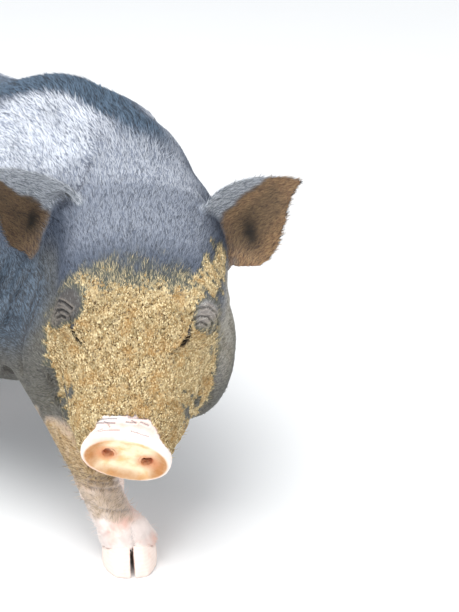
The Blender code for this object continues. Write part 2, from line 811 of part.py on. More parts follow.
def snout(frame):
    """The disc: a flared oval plate with a rounded rim and two nostrils."""
    tilt = Matrix.Rotation(DISC_TILT, 4, "X")
    place = frame @ Matrix.Translation((0, DISC_ASIDE, DISC_MIDDLE)) @ tilt
    side = place.to_3x3() @ Vector((0, 1, 0))
    up = place.to_3x3() @ Vector((0, 0, 1))
    rows = ((DISC_BACK, 0.97), (DISC_BACK + 0.005, 0.985), (DISC_FRONT - 0.006, 1.02),
            (DISC_FRONT - 0.002, 1.0), (DISC_FRONT, 0.93), (DISC_FRONT - 0.0015, 0.72))
    rings = [ring(place @ Vector((along, 0, 0)), side, up, DISC_HALF_WIDTH * share, DISC_RISE * share,
                  DISC_DROP * share, 2.3, 28) for along, share in rows]
    plate = loft("snout_form", rings)
    for way in (-1, 1):
        turn = Matrix.Rotation(way * math.radians(14), 4, "Z")
        spot = (DISC_FRONT, way * NOSTRIL_APART + NOSTRIL_ASIDE, 0.001)
        cut(plate, blob("nostril", spot, NOSTRIL_RADII, turn, place, 16), "DIFFERENCE")
    return plate


def mouth_line(head, frame):
    """The line of the mouth, cut along the muzzle from corner to corner."""
    line = [Vector(p) for p in MOUTH] + [mirrored(p, -1) for p in MOUTH[-2::-1]]
    cut(head, tube("mouth", on_skin(head, line, frame), MOUTH_RADIUS, 1), "DIFFERENCE")


# Feet and tail


def foot_frame(name):
    """Stands on the floor under the last joint of a leg, with its Y axis straight ahead."""
    last = LEGS[name][-1][0]
    turn = math.radians(FOOT_TURNS[name] - 180)
    return Matrix.Translation((last[0], last[1], 0)) @ Matrix.Rotation(turn, 4, "Z")


def toe_form(side, frame):
    """One toe, flat towards its neighbour, rounded outside and pointed ahead. It reaches below the floor."""
    rings = []
    for height, front, heel, wide in TOES:
        points = []
        for step in range(20):
            angle = 2 * math.pi * step / 20
            ahead = math.cos(angle)
            along = ahead * (front if ahead > 0 else heel)
            taper = 1 - 0.34 * max(0.0, ahead) ** 2
            across = wide * taper * (0.5 + 0.5 * math.sin(angle)) - 0.001
            points.append(frame @ Vector((across * side, along, height)))
        rings.append(points)
    return loft("toe_form", rings)


def dewclaw_form(heel, back):
    """A small blunt cone that hangs behind the leg and leans away from it."""
    rings = []
    for down, radius in DEWCLAW:
        centre = heel + back * (DEWCLAW_LEAN * down) - Vector((0, 0, down))
        rings.append(ring(centre, Vector((1, 0, 0)), Vector((0, 1, 0)), radius, radius, radius, 2.1, 8))
    return loft("dewclaw", rings)


def feet(legs):
    """Parts the horn of each toe off at the coronet and sets the dewclaws behind."""
    horn = finish("hoof", HOOF_COLOUR, 0.5)
    for name, leg in legs.items():
        frame = foot_frame(name)
        rise = Matrix.Rotation(math.atan(CORONET_SLOPE), 4, "X")
        coronet = frame @ Matrix.Translation((0, 0.030, CORONET_FRONT)) @ rise
        for side, which in ((1, "left"), (-1, "right")):
            ends = sorted((0.0, -side * 0.1))
            below = block("below", (ends[0], -0.15, -0.1), (ends[1], 0.1, 0), coronet)
            keep(part_off(leg, below, "claw"), f"{name}_hoof_{which}", horn)
        room = copy_of(leg, "leg_room", GAP)
        ankle, _wide, deep = LEGS[name][DEWCLAW_JOINT]
        out = frame.to_3x3() @ Vector((-1, 0, 0))
        back = frame.to_3x3() @ Vector((0, -1, 0))
        for side, which in ((1, "left"), (-1, "right")):
            heel = Vector(ankle) + out * (side * DEWCLAW_APART) + back * (deep * DEWCLAW_BEHIND)
            dew = dewclaw_form(heel, back)
            cut(dew, room, "DIFFERENCE")
            keep(dew, f"{name}_dewclaw_{which}", horn)


def united(body, pieces):
    """Fuses closed pieces to a body with one union over their collection."""
    group = bpy.data.collections.new("fused")
    for piece in pieces:
        group.objects.link(piece)
    start = body.data
    for solver in ("EXACT", "MANIFOLD"):
        body.data = start.copy()
        tool = body.modifiers.new("union", "BOOLEAN")
        tool.operation = "UNION"
        tool.operand_type = "COLLECTION"
        tool.collection = group
        tool.solver = solver
        baked(body)
        if len(body.data.polygons) > len(start.polygons) and closed(body.data):
            break
    for piece in pieces:
        bpy.data.objects.remove(piece)
    bpy.data.collections.remove(group)
    return largest(body)


def lock(start, heading, side, length):
    """One flat lock of hair, widest near its root and tapered to its tip."""
    across = heading.cross(side).normalized()
    rings = []
    for share, fat in LOCK_SHAPE:
        centre = start + heading * (length * share) + side * (0.16 * length * share * share)
        rings.append(ring(centre, across, side, LOCK_WIDTH * fat, LOCK_THICKNESS * fat,
                          LOCK_THICKNESS * fat, 2.1, 4))
    return loft("lock", rings)


def tail_form():
    """A straight tail that hangs, with a switch of flat locks fused round its end."""
    path = smooth_rows(TAIL_PATH, 3)
    tail = tube("tail_form", [tuple(row) for row in path], TAIL_PATH[0][3], 2)
    dice = random.Random(7)
    locks = []
    for count in range(SWITCH_LOCKS):
        share = count / (SWITCH_LOCKS - 1)
        row = path[-1 - int((1 - share) * 7)]
        turn = count * GOLDEN_TURN
        side = Vector((math.cos(turn), math.sin(turn), 0))
        heading = (Vector((0, 0, -1)) + side * dice.uniform(0.04, 0.20)).normalized()
        root = Vector(row[:3]) + side * (row[3] * 0.45)
        locks.append(lock(root, heading, side, SWITCH_LENGTH * dice.uniform(0.7, 1.0)))
    return united(tail, locks)


def head_block(frame):
    """The head's share: all that is ahead of an upright plane behind the ears, down to the throat."""
    heading = Vector((-math.sin(HEAD_TURN), -math.cos(HEAD_TURN), 0))
    up = Vector((0, 0, 1))
    side = up.cross(heading)
    rings = []
    for along, wide, rise, drop in HEAD_ROOM:
        rings.append(ring(HEAD_PLACE + heading * along, side, up, wide, rise, drop, 5.0, 24))
    return loft("head_block", rings)


def neck_block():
    turned = Matrix.Translation(NECK_CUT) @ Matrix.Rotation(-NECK_CUT_TURN, 4, "Z")
    return block("neck_block", (-0.5, -0.5, -0.1), (0.5, 0, 0.9), turned)


# The whole pig


def centre_on_floor():
    """Moves the pieces so that the origin is on the floor under the middle of their box."""
    pieces = list(bpy.data.collections["pig"].objects)
    points = np.vstack([points_of(piece) for piece in pieces])
    low, high = points.min(0), points.max(0)
    for piece in pieces:
        piece.location = (-(low[0] + high[0]) / 2, -(low[1] + high[1]) / 2, -low[2])
    bpy.context.view_layer.update()


def build():
    clear_scene()
    frame = head_frame()
    skin = finish("skin", SKIN_COLOUR, 0.6)
    pale = finish("pale_skin", PALE_COLOUR, 0.55)
    inner_ear = finish("ear_skin", EAR_COLOUR, 0.65)

    body = fold_flesh(flesh(frame), frame)
    stand(thinned(body, FLESH_TRIANGLES, frame))

    legs = {}
    for name, joints in LEGS.items():
        lowest = (*joints[-1][0][:2], 0.0)
        top = 2 if name.startswith("fore") else 1
        reach = (*joints[top:-1], (lowest, *joints[-2][1:]))
        legs[name] = part_off(body, limb(name + "_block", reach, LEG_ROOM), name)
    head = part_off(body, head_block(frame), "head")
    cut(head, block("nose_block", (DISC_BACK - GAP, -0.1, -0.2), (0.4, 0.1, 0.1), frame), "DIFFERENCE")
    neck = part_off(body, neck_block(), "neck")

    for name, side in (("ear_left", 1), ("ear_right", -1)):
        ear = ear_form(side, frame)
        cut(ear, copy_of(head, "head_room", GAP), "DIFFERENCE")
        cut(ear, copy_of(neck, "neck_room", GAP), "DIFFERENCE")
        keep(ear, name, inner_ear)
    lids(head, frame)
    mouth_line(head, frame)
    keep(snout(frame), "snout", finish("disc", DISC_COLOUR, 0.45))
    feet(legs)
    tail = tail_form()
    cut(tail, copy_of(body, "torso_room", GAP), "DIFFERENCE")
    keep(tail, "tail", skin)
    for name, leg in legs.items():
        keep(leg, name, pale if name.startswith("fore") else skin)
    keep(head, "head", skin)
    keep(neck, "neck", skin)
    keep(body, "torso", skin)
    for thing in list(bpy.data.collections["guides"].objects):
        bpy.data.objects.remove(thing)
    centre_on_floor()


build()
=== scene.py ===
import math

import bmesh
import bpy
import numpy as np
from mathutils import Matrix, Vector
from mathutils.bvhtree import BVHTree


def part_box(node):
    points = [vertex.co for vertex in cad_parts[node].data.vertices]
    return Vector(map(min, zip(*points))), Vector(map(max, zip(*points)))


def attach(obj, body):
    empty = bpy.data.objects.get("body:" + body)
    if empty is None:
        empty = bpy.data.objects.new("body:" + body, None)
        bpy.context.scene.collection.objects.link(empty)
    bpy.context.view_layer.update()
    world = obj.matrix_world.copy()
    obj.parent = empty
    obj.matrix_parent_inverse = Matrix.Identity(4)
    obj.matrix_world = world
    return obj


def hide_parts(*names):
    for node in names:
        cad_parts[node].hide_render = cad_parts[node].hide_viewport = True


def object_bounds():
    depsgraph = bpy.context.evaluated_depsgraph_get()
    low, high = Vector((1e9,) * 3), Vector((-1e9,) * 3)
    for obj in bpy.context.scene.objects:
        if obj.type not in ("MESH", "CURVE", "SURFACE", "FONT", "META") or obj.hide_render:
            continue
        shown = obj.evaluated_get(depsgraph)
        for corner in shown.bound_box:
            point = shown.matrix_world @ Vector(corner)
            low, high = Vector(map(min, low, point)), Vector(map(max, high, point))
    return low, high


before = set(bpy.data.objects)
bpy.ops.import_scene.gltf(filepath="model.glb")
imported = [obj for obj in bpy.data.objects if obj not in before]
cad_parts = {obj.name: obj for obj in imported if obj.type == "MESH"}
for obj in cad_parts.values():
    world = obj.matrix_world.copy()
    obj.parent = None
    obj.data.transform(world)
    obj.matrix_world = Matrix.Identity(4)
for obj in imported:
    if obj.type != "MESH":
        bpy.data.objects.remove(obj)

cad_low, cad_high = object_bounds()

# Studio. A pale seamless floor under a white surround, lit by a broad soft lamp overhead and a
# second one at the side, with the camera ahead of the pig and above it, looking down on its head.
FLOOR_SIZE = 16.0
FLOOR_DROP = 0.0002
FLOOR_TONE = (0.86, 0.87, 0.88)
FLOOR_SHADE = 0.97
SURROUND_TONE = (0.97, 0.985, 1.0, 1)
SURROUND_LIGHT = 0.92
CAMERA_FROM_EYES = Vector((-0.886, -1.597, 0.6584))
CAMERA_DOWN = math.radians(19.3)
CAMERA_ROUND = math.radians(-32)
CAMERA_LENS = 117.65
# Each lamp's place, what it is aimed at, its size, power and tone
LAMPS = {
    "lamp_overhead": ((-0.9, -0.9, 3.2), (0.0, -0.1, 0.2), 2.4, 96.0, (1.0, 0.99, 0.97)),
    "lamp_side": ((-2.8, -2.2, 1.5), (-0.05, -0.35, 0.25), 1.4, 26.0, (0.90, 0.95, 1.0)),
}


class Reading:
    """A value that changes over a surface. Sums and products of readings add their own nodes."""

    def __init__(self, finish, socket):
        self.finish = finish
        self.socket = socket

    def maths(self, operation, first, second, clamp=False):
        settings = {"operation": operation, "use_clamp": clamp}
        return self.finish.node("Math", settings, {0: first, 1: second})

    def __add__(self, other):
        return self.maths("ADD", self, other)

    def __radd__(self, other):
        return self.maths("ADD", other, self)

    def __sub__(self, other):
        return self.maths("SUBTRACT", self, other)

    def __rsub__(self, other):
        return self.maths("SUBTRACT", other, self)

    def __mul__(self, other):
        return self.maths("MULTIPLY", self, other)

    def __rmul__(self, other):
        return self.maths("MULTIPLY", other, self)

    def clamped(self):
        return self.maths("ADD", self, 0.0, clamp=True)

    def ramp(self, low, high):
        """0 below low, 1 above high, and smooth in between."""
        settings = {"interpolation_type": "SMOOTHSTEP"}
        return self.finish.node("MapRange", settings, {"Value": self, 1: low, 2: high})


class Finish:
    """One material of the model, with the nodes that make it."""

    def __init__(self, name, **constants):
        self.material = bpy.data.materials.new(name)
        self.material.use_nodes = True
        self.tree = self.material.node_tree
        self.shader = self.tree.nodes["Principled BSDF"]
        for label, value in constants.items():
            self.feed(self.shader.inputs[label.replace("_", " ")], value)
        self.place = self.node("TexCoord", out="Object")

    def feed(self, socket, value):
        if isinstance(value, Reading):
            self.tree.links.new(value.socket, socket)
        elif socket.type == "RGBA" and len(value) == 3:
            socket.default_value = (*value, 1)
        else:
            socket.default_value = value

    def node(self, kind, settings=None, values=None, out=0):
        made = self.tree.nodes.new("ShaderNode" + kind)
        for label, value in (settings or {}).items():
            setattr(made, label, value)
        for label, value in (values or {}).items():
            self.feed(made.inputs[label], value)
        return Reading(self, made.outputs[out])

    def mix(self, share, first, second):
        return self.node("Mix", {"data_type": "RGBA"}, {0: share, 6: first, 7: second}, out=2)

    def layered(self, tone, *layers):
        """Lays each colour over the ones before it, by its share."""
        for share, colour in layers:
            tone = self.mix(share, tone, colour)
        return tone

    def grain(self, size):
        """Soft noise of about this size in metres, from 0 to 1."""
        values = {"Vector": self.place, "Scale": 1 / size, "Detail": 3.0, "Roughness": 0.55}
        return self.node("TexNoise", None, values)

    def cells(self, size, feature="F1", out="Distance"):
        values = {"Vector": self.place, "Scale": 1 / size}
        return self.node("TexVoronoi", {"feature": feature}, values, out=out)

    def marking(self, name):
        return self.node("Attribute", {"attribute_name": name}, out="Fac")

    def finished(self, colour, rough, height=None, depth=0.001, strength=1.0):
        """Joins the readings to the shader; height is in units of depth."""
        self.feed(self.shader.inputs["Base Color"], colour)
        self.feed(self.shader.inputs["Roughness"], rough)
        if height is not None:
            values = {"Height": height, "Distance": depth, "Strength": strength}
            self.feed(self.shader.inputs["Normal"], self.node("Bump", None, values))
        return self.material


def paint(red, green, blue):
    """A colour given as a screen shows it, from 0 to 255, as the share of each primary that it reflects."""
    return tuple(((c / 255 + 0.055) / 1.055) ** 2.4 if c > 10 else c / 3295 for c in (red, green, blue))


def centre_of(node):
    low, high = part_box(node)
    return (low + high) / 2


eyes_middle = (centre_of("eye_left") + centre_of("eye_right")) / 2

bpy.ops.object.select_all(action="DESELECT")
bpy.ops.mesh.primitive_plane_add(size=FLOOR_SIZE, location=(0, 0, 0))
studio_floor = bpy.context.object
studio_floor.name = "studio_floor"
for corner in studio_floor.data.vertices:
    corner.co.z = -FLOOR_DROP
floor_paint = Finish("floor_paint")
floor_tone = floor_paint.mix(floor_paint.grain(0.5), FLOOR_TONE, tuple(c * FLOOR_SHADE for c in FLOOR_TONE))
studio_floor.data.materials.append(floor_paint.finished(floor_tone, 0.9))

surround = bpy.data.worlds.new("surround")
surround.use_nodes = True
surround.node_tree.nodes["Background"].inputs["Color"].default_value = SURROUND_TONE
surround.node_tree.nodes["Background"].inputs["Strength"].default_value = SURROUND_LIGHT
bpy.context.scene.world = surround
bpy.context.scene.view_settings.view_transform = "Standard"

for lamp_name, (lamp_place, aimed_at, lamp_size, lamp_power, lamp_tone) in LAMPS.items():
    lamp_data = bpy.data.lights.new(lamp_name, "AREA")
    lamp_data.size = lamp_size
    lamp_data.energy = lamp_power
    lamp_data.color = lamp_tone
    lamp = bpy.data.objects.new(lamp_name, lamp_data)
    lamp.location = lamp_place
    lamp.rotation_euler = (Vector(aimed_at) - Vector(lamp_place)).to_track_quat("-Z", "Y").to_euler()
    bpy.context.collection.objects.link(lamp)

camera_data = bpy.data.cameras.new("camera")
camera_data.lens = CAMERA_LENS
camera_data.clip_end = 40
camera = bpy.data.objects.new("camera", camera_data)
camera.location = eyes_middle + CAMERA_FROM_EYES
camera.rotation_euler = (math.pi / 2 - CAMERA_DOWN, 0, CAMERA_ROUND)
bpy.context.collection.objects.link(camera)
bpy.context.scene.camera = camera

# Skin. One hide over the whole animal, from the disc of the snout to the end of the tail's stalk:
# tough grey-blue skin, drawn into folds at the cheeks, the neck and the small sunken eyes, and
# closed over the joints between the parts of the body, a coat's depth inside them.
FLESH = (
    "torso", "neck", "head", "snout", "ear_left", "ear_right",
    "foreleg_left", "foreleg_right", "hind_leg_left", "hind_leg_right",
)
PUSH = 0.0004
MERGE = 0.00001
VOXEL = 0.0022
SKIN_TRIANGLES = 150000

HEAD_TURN = math.radians(36)
HEAD_PITCH = math.radians(29)
HEAD_ROLL = math.radians(-2)
EYE_PLACE = (0.105, 0.0525, 0.0235)
EYE_RADIUS = 0.0112
EYE_PLUG = 0.0128
# The stalk of the tail, as place and radius, with the eyes' middle where it was drawn
DRAWN_EYES = Vector((-0.0400, -0.4140, 0.2416))
TAIL_PATH = (
    (0.000, 0.380, 0.350, 0.0150), (0.000, 0.400, 0.351, 0.0150), (0.000, 0.430, 0.345, 0.0122),
    (0.006, 0.450, 0.310, 0.0085), (0.012, 0.455, 0.262, 0.0062), (0.016, 0.452, 0.215, 0.0044),
    (0.018, 0.449, 0.185, 0.0030), (0.0185, 0.448, 0.165, 0.0018),
)


def applied(piece, kind, **settings):
    """Adds one modifier to the piece and applies it."""
    bpy.context.view_layer.objects.active = piece
    modifier = piece.modifiers.new(kind.lower(), kind)
    for label, value in settings.items():
        setattr(modifier, label, value)
    bpy.ops.object.modifier_apply(modifier=modifier.name)


def new_piece(name, mesh):
    piece = bpy.data.objects.new(name, mesh)
    bpy.context.collection.objects.link(piece)
    return piece


def places_of(mesh):
    values = np.empty(len(mesh.vertices) * 3, np.float32)
    mesh.vertices.foreach_get("co", values)
    return values.reshape(-1, 3).astype(float)


def normals_of(mesh):
    values = np.empty(len(mesh.vertices) * 3, np.float32)
    mesh.vertex_normals.foreach_get("vector", values)
    return values.reshape(-1, 3).astype(float)


def put_places(mesh, places):
    mesh.vertices.foreach_set("co", places.astype(np.float32).ravel())
    mesh.update()


def unit(vectors):
    return vectors / np.maximum(np.linalg.norm(vectors, axis=-1, keepdims=True), 1e-9)


def dot(first, second):
    return (first * second).sum(-1)


def step(low, high, values):
    """0 below low, 1 above high, and smooth in between; low may be the larger."""
    share = np.clip((values - low) / (high - low), 0, 1)
    return share * share * (3 - 2 * share)


def blob(places, centre, radii):
    """1 at the centre of an ellipsoid, falling smoothly to 0 at its skin."""
    far = np.linalg.norm((places - np.array(centre)) / np.array(radii), axis=-1)
    return step(1.0, 0.45, far)


def hump(values, width):
    """1 where the values are 0, falling away smoothly on both sides over about the width."""
    return np.exp(-((values / width) ** 2))


def ripple(places, size, seed, waves=7):
    """Smooth noise from -1 to 1 with bumps of about this size."""
    dice = np.random.default_rng(seed)
    total = np.zeros(len(places))
    for _wave in range(waves):
        way = unit(dice.normal(size=3)) * (2 * math.pi / size) * dice.uniform(0.6, 1.5)
        total += np.sin(places @ way + dice.uniform(0, 2 * math.pi))
    return total / math.sqrt(waves) / 1.4


heading = Vector((-math.sin(HEAD_TURN), -math.cos(HEAD_TURN), 0))
head_ahead = heading * math.cos(HEAD_PITCH) + Vector((0, 0, -math.sin(HEAD_PITCH)))
head_up = Matrix.Rotation(HEAD_ROLL, 3, head_ahead) @ (
    heading * math.sin(HEAD_PITCH) + Vector((0, 0, math.cos(HEAD_PITCH)))
)
head_left = head_up.cross(head_ahead)
HEAD_AXES = np.array([head_ahead, head_left, head_up])
HEAD_PLACE = np.array(eyes_middle) - np.array((EYE_PLACE[0], 0, EYE_PLACE[2])) @ HEAD_AXES
drawn_shift = eyes_middle - DRAWN_EYES


def in_head(places):
    """Places as (ahead, to the pig's left, up), from the middle of the head."""
    return (places - HEAD_PLACE) @ HEAD_AXES.T


def from_head(places):
    return np.asarray(places, float) @ HEAD_AXES + HEAD_PLACE


def joined_solid(node):
    """A copy of a node's solid, with its loose triangles joined at their corners."""
    solid = bmesh.new()
    solid.from_mesh(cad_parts[node].data)
    bmesh.ops.remove_doubles(solid, verts=solid.verts, dist=MERGE)
    return solid


def flesh_mesh():
    """The body's solids in one mesh, each a little swollen so that the joints between them close."""
    whole = bmesh.new()
    for node in FLESH:
        solid = joined_solid(node)
        solid.normal_update()
        for vert in solid.verts:
            vert.co += vert.normal * PUSH
        swollen = bpy.data.meshes.new(node + "_swollen")
        solid.to_mesh(swollen)
        solid.free()
        whole.from_mesh(swollen)
    for side in (1, -1):
        plug = from_head(np.array(EYE_PLACE) * (1, side, 1))
        bmesh.ops.create_icosphere(whole, subdivisions=3, radius=EYE_PLUG, matrix=Matrix.Translation(plug))
    stalk = bpy.data.curves.new("tail_stalk", "CURVE")
    stalk.dimensions = "3D"
    stalk.bevel_depth = 1.0
    stalk.use_fill_caps = True
    spline = stalk.splines.new("NURBS")
    spline.points.add(len(TAIL_PATH) - 1)
    for point, (x, y, z, radius) in zip(spline.points, TAIL_PATH):
        point.co = (*(Vector((x, y, z)) + drawn_shift), 1)
        point.radius = radius
    spline.order_u = 3
    spline.use_endpoint_u = True
    carrier = new_piece("tail_stalk", stalk)
    tube = bpy.data.meshes.new_from_object(carrier.evaluated_get(bpy.context.evaluated_depsgraph_get()))
    whole.from_mesh(tube)
    bpy.data.objects.remove(carrier)
    joined = bpy.data.meshes.new("skin")
    whole.to_mesh(joined)
    whole.free()
    return joined


skin = new_piece("skin", flesh_mesh())
applied(skin, "REMESH", mode="VOXEL", voxel_size=VOXEL, use_smooth_shade=True)
applied(skin, "SMOOTH", factor=0.5, iterations=5)

# The face, ears and near foreleg keep the finest mesh; the body is thinned.
spots = in_head(places_of(skin.data))
world_spots = places_of(skin.data)
fine = step(-0.09, -0.05, spots[:, 0]) * step(-0.16, -0.13, spots[:, 2]) * (np.abs(spots[:, 1]) < 0.19)
fine = fine * (world_spots[:, 2] > 0.12)
low_leg = (world_spots[:, 2] < 0.16) & (world_spots[:, 1] < -0.30)
coarse = skin.vertex_groups.new(name="coarse")
weights = np.where(low_leg, 0.35, 1 - fine)
for level in range(1, 5):
    chosen = np.nonzero((weights * 4).round() == level)[0]
    coarse.add(chosen.tolist(), level / 4, "REPLACE")
kept = SKIN_TRIANGLES / (2 * len(skin.data.polygons))
applied(skin, "DECIMATE", ratio=kept, vertex_group="coarse", vertex_group_factor=0.1)
skin.vertex_groups.clear()


def refined(piece, centres):
    """Halves the edges near each centre."""
    mesh = bmesh.new()
    mesh.from_mesh(piece.data)
    for centre, reach in centres:
        middle = Vector(centre)
        near = [e for e in mesh.edges if (e.verts[0].co - middle).length < reach]
        bmesh.ops.subdivide_edges(mesh, edges=near, cuts=1, use_grid_fill=True)
    bmesh.ops.triangulate(mesh, faces=[f for f in mesh.faces if len(f.verts) > 3])
    mesh.to_mesh(piece.data)
    mesh.free()


LID_MIDDLE = (0.104, 0.066, 0.031)
DISC_CENTRE = (0.2205, 0.003, -0.040)
SNOUT_TOP = (0.2030, 0.003, 0.000)
FOOT_NAMES = ("foreleg_left", "foreleg_right", "hind_leg_left", "hind_leg_right")
CLEFT_TOP = 0.050
CLEFT_HALF = 0.0019
CLEFT_DEPTH = 0.0045
lid_middles = [from_head(np.array(LID_MIDDLE) * (1, side, 1)) for side in (1, -1)]
refined(skin, [(middle, 0.032) for middle in lid_middles])
refined(skin, [(middle, 0.026) for middle in lid_middles])
refined(skin, [(from_head(DISC_CENTRE), 0.050)])
refined(skin, [(from_head(SNOUT_TOP), 0.030)])
refined(skin, [(from_head(SNOUT_TOP), 0.026)])
toe_pairs = [[centre_of(f"{foot}_hoof_{name}") for name in ("left", "right")] for foot in FOOT_NAMES]
refined(skin, [((left + right) / 2 + Vector((0, -0.012, 0.024)), 0.030) for left, right in toe_pairs])


def surface_of(mesh):
    places = places_of(mesh)
    faces = [tuple(p.vertices) for p in mesh.polygons]
    return BVHTree.FromPolygons(places.tolist(), faces)


def laid(surface, path, spacing=0.0015):
    """Points close together along a path in the head, each on the skin."""
    rows = np.array(path, float)
    points = []
    for start, end in zip(rows[:-1], rows[1:]):
        count = max(2, int(np.linalg.norm((end - start)[:3]) / spacing))
        points += [start + (end - start) * k / count for k in range(count)]
    points.append(rows[-1])
    points = np.array(points)
    world = [surface.find_nearest(Vector(p))[0] for p in from_head(points[:, :3])]
    return np.array([tuple(w) for w in world]), points[:, 3:]


def nearness(places, line, reach):
    """Distance of each place to a line of points, and the nearest point's number, within reach."""
    far = np.full(len(places), 9.0)
    nearest = np.zeros(len(places), int)
    low, high = line.min(0) - reach, line.max(0) + reach
    inside = np.nonzero(((places > low) & (places < high)).all(1))[0]
    if len(inside):
        gaps = np.linalg.norm(places[inside, None] - line[None], axis=2)
        far[inside] = gaps.min(1)
        nearest[inside] = gaps.argmin(1)
    return far, nearest


# Folds in the head's frame: path, width, depth and the lip that stands beside it
MOUTH = (
    (0.094, 0.080, -0.070), (0.125, 0.062, -0.080), (0.160, 0.046, -0.079),
    (0.184, 0.028, -0.075), (0.193, 0.000, -0.073),
)
FOLDS = (
    (((0.021, -0.114, 0.004), (0.053, -0.125, -0.008), (0.074, -0.128, -0.022)), 0.0036, 0.0034, 0.0010),
    (((0.031, -0.100, 0.008), (0.067, -0.1075, -0.003), (0.087, -0.111, -0.017), (0.098, -0.112, -0.035),
      (0.108, -0.111, -0.052)), 0.0032, 0.0036, 0.0010),
    (((0.058, -0.098, 0.006), (0.080, -0.102, -0.006), (0.096, -0.104, -0.026)), 0.0022, 0.0018, 0.0006),
    (((0.031, 0.098, 0.008), (0.067, 0.100, -0.003), (0.087, 0.100, -0.020)), 0.0026, 0.0018, 0.0006),
    (((0.120, -0.083, -0.030), (0.140, -0.074, -0.038), (0.152, -0.066, -0.050)), 0.0026, 0.0016, 0.0006),
    (((-0.018, -0.090, 0.060), (-0.024, -0.072, 0.067), (-0.034, -0.060, 0.072), (-0.052, -0.052, 0.078)),
     0.0055, 0.0048, 0.0010),
    (((0.120, 0.080, -0.030), (0.140, 0.072, -0.038), (0.152, 0.064, -0.050)), 0.0026, 0.0016, 0.0006),
)
WRINKLES = (
    (((0.1990, -0.020, 0.001), (0.2000, -0.010, 0.002), (0.1995, 0.012, 0.002)), 0.0012, 0.0011, 0.0004),
    (((0.2040, -0.024, -0.002), (0.2030, -0.014, 0.000), (0.2025, -0.006, 0.000)), 0.0012, 0.0011, 0.0004),
    (((0.2075, -0.026, -0.004), (0.2065, -0.016, -0.003), (0.2060, -0.008, -0.003)),
     0.0012, 0.0011, 0.0004),
    (((0.2110, -0.030, -0.009), (0.2095, -0.020, -0.007)), 0.0011, 0.0011, 0.0004),
    (((0.2020, 0.006, 0.002), (0.2015, 0.014, 0.001), (0.2000, 0.022, -0.001)), 0.0012, 0.0011, 0.0004),
    (((0.2075, 0.004, 0.000), (0.2075, 0.013, -0.001)), 0.0011, 0.0010, 0.0004),
    (((0.2050, 0.018, -0.001), (0.2075, 0.026, -0.004)), 0.0011, 0.0010, 0.0004),
    (((0.2125, -0.022, -0.0095), (0.2120, -0.012, -0.007), (0.2115, -0.003, -0.007)),
     0.0011, 0.0010, 0.0004),
    (((0.2105, 0.010, -0.004), (0.2112, 0.019, -0.006), (0.2110, 0.027, -0.009)), 0.0011, 0.0010, 0.0004),
    (((0.2060, -0.018, -0.002), (0.2088, -0.013, -0.004)), 0.0010, 0.0009, 0.0004),
    (((0.2040, 0.009, 0.000), (0.2068, 0.013, -0.001)), 0.0010, 0.0009, 0.0004),
)
FOLD_SHADE = 0.6
WRINKLE_SHADE = 0.95
# The slit between the lids runs down towards the snout: place and half width
SLIT = (
    (0.1080, 0.0590, 0.0385, 0.0004), (0.1140, 0.0580, 0.0310, 0.0006), (0.1180, 0.0570, 0.0250, 0.0018),
    (0.1222, 0.0532, 0.0208, 0.0021), (0.1262, 0.0490, 0.0182, 0.0007), (0.1350, 0.0395, 0.0172, 0.0004),
)
SLIT_OPEN = {1: 1.0, -1: 0.7}
SLIT_DEPTH = 0.0085
RIM_HEIGHT = 0.0011
# The heavy fold curls round above and outside the slit, in rings one within another
LID_RINGS = (
    ((0.1060, 0.0585, 0.0445), (0.0985, 0.0655, 0.0445), (0.0915, 0.0740, 0.0400), (0.0900, 0.0815, 0.0300),
     (0.0945, 0.0825, 0.0190), (0.1035, 0.0785, 0.0150), (0.1110, 0.0705, 0.0160)),
    ((0.1085, 0.0620, 0.0400), (0.1035, 0.0680, 0.0390), (0.0985, 0.0750, 0.0330), (0.0990, 0.0775, 0.0250),
     (0.1050, 0.0745, 0.0205)),
    ((0.1095, 0.0650, 0.0350), (0.1060, 0.0700, 0.0335), (0.1040, 0.0730, 0.0280)),
)
LID_BULGE = 0.0022
RING_SIZES = (0.0011, 0.0018, 0.0010)
MOUTH_SIZES = (0.0016, 0.0026, 0.0005)
LEG_RINGS = (0.0905, 0.0850, 0.0795, 0.0600)
LEG_RING_DEPTH = 0.0015
LEG_RING_WIDTH = 0.0018


def furrow(places, surface, path, width, depth, lip):
    """How far a fold moves the skin along its normal."""
    line, _more = laid(surface, path)
    far, _nearest = nearness(places, line, width * 5)
    return lip * hump(far - 2.1 * width, width) - depth * hump(far, width)


EAR_ROOT = np.array((-0.006, 0.079, 0.038))
EAR_TIPS = {1: np.array((-0.036, 0.157, 0.090)), -1: np.array((-0.014, 0.152, 0.108))}
EAR_FACING = unit(np.array((0.86, 0.10, 0.30)))
# Half width of the ear's leaf along its length, and how much wider its lower half is there
EAR_SHARES = (-0.12, 0.05, 0.20, 0.40, 0.60, 0.80, 0.93, 1.00)
EAR_HALVES = (0.028, 0.0345, 0.041, 0.0405, 0.0335, 0.0215, 0.0105, 0.003)
EAR_LOBES = (1.25, 1.42, 1.30, 1.08, 0.86, 0.50, 0.42, 1.00)
EAR_REACH = 0.080
ear_nodes = {1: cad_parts["ear_left"], -1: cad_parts["ear_right"]}
ear_solids = {side: surface_of(node.data) for side, node in ear_nodes.items()}


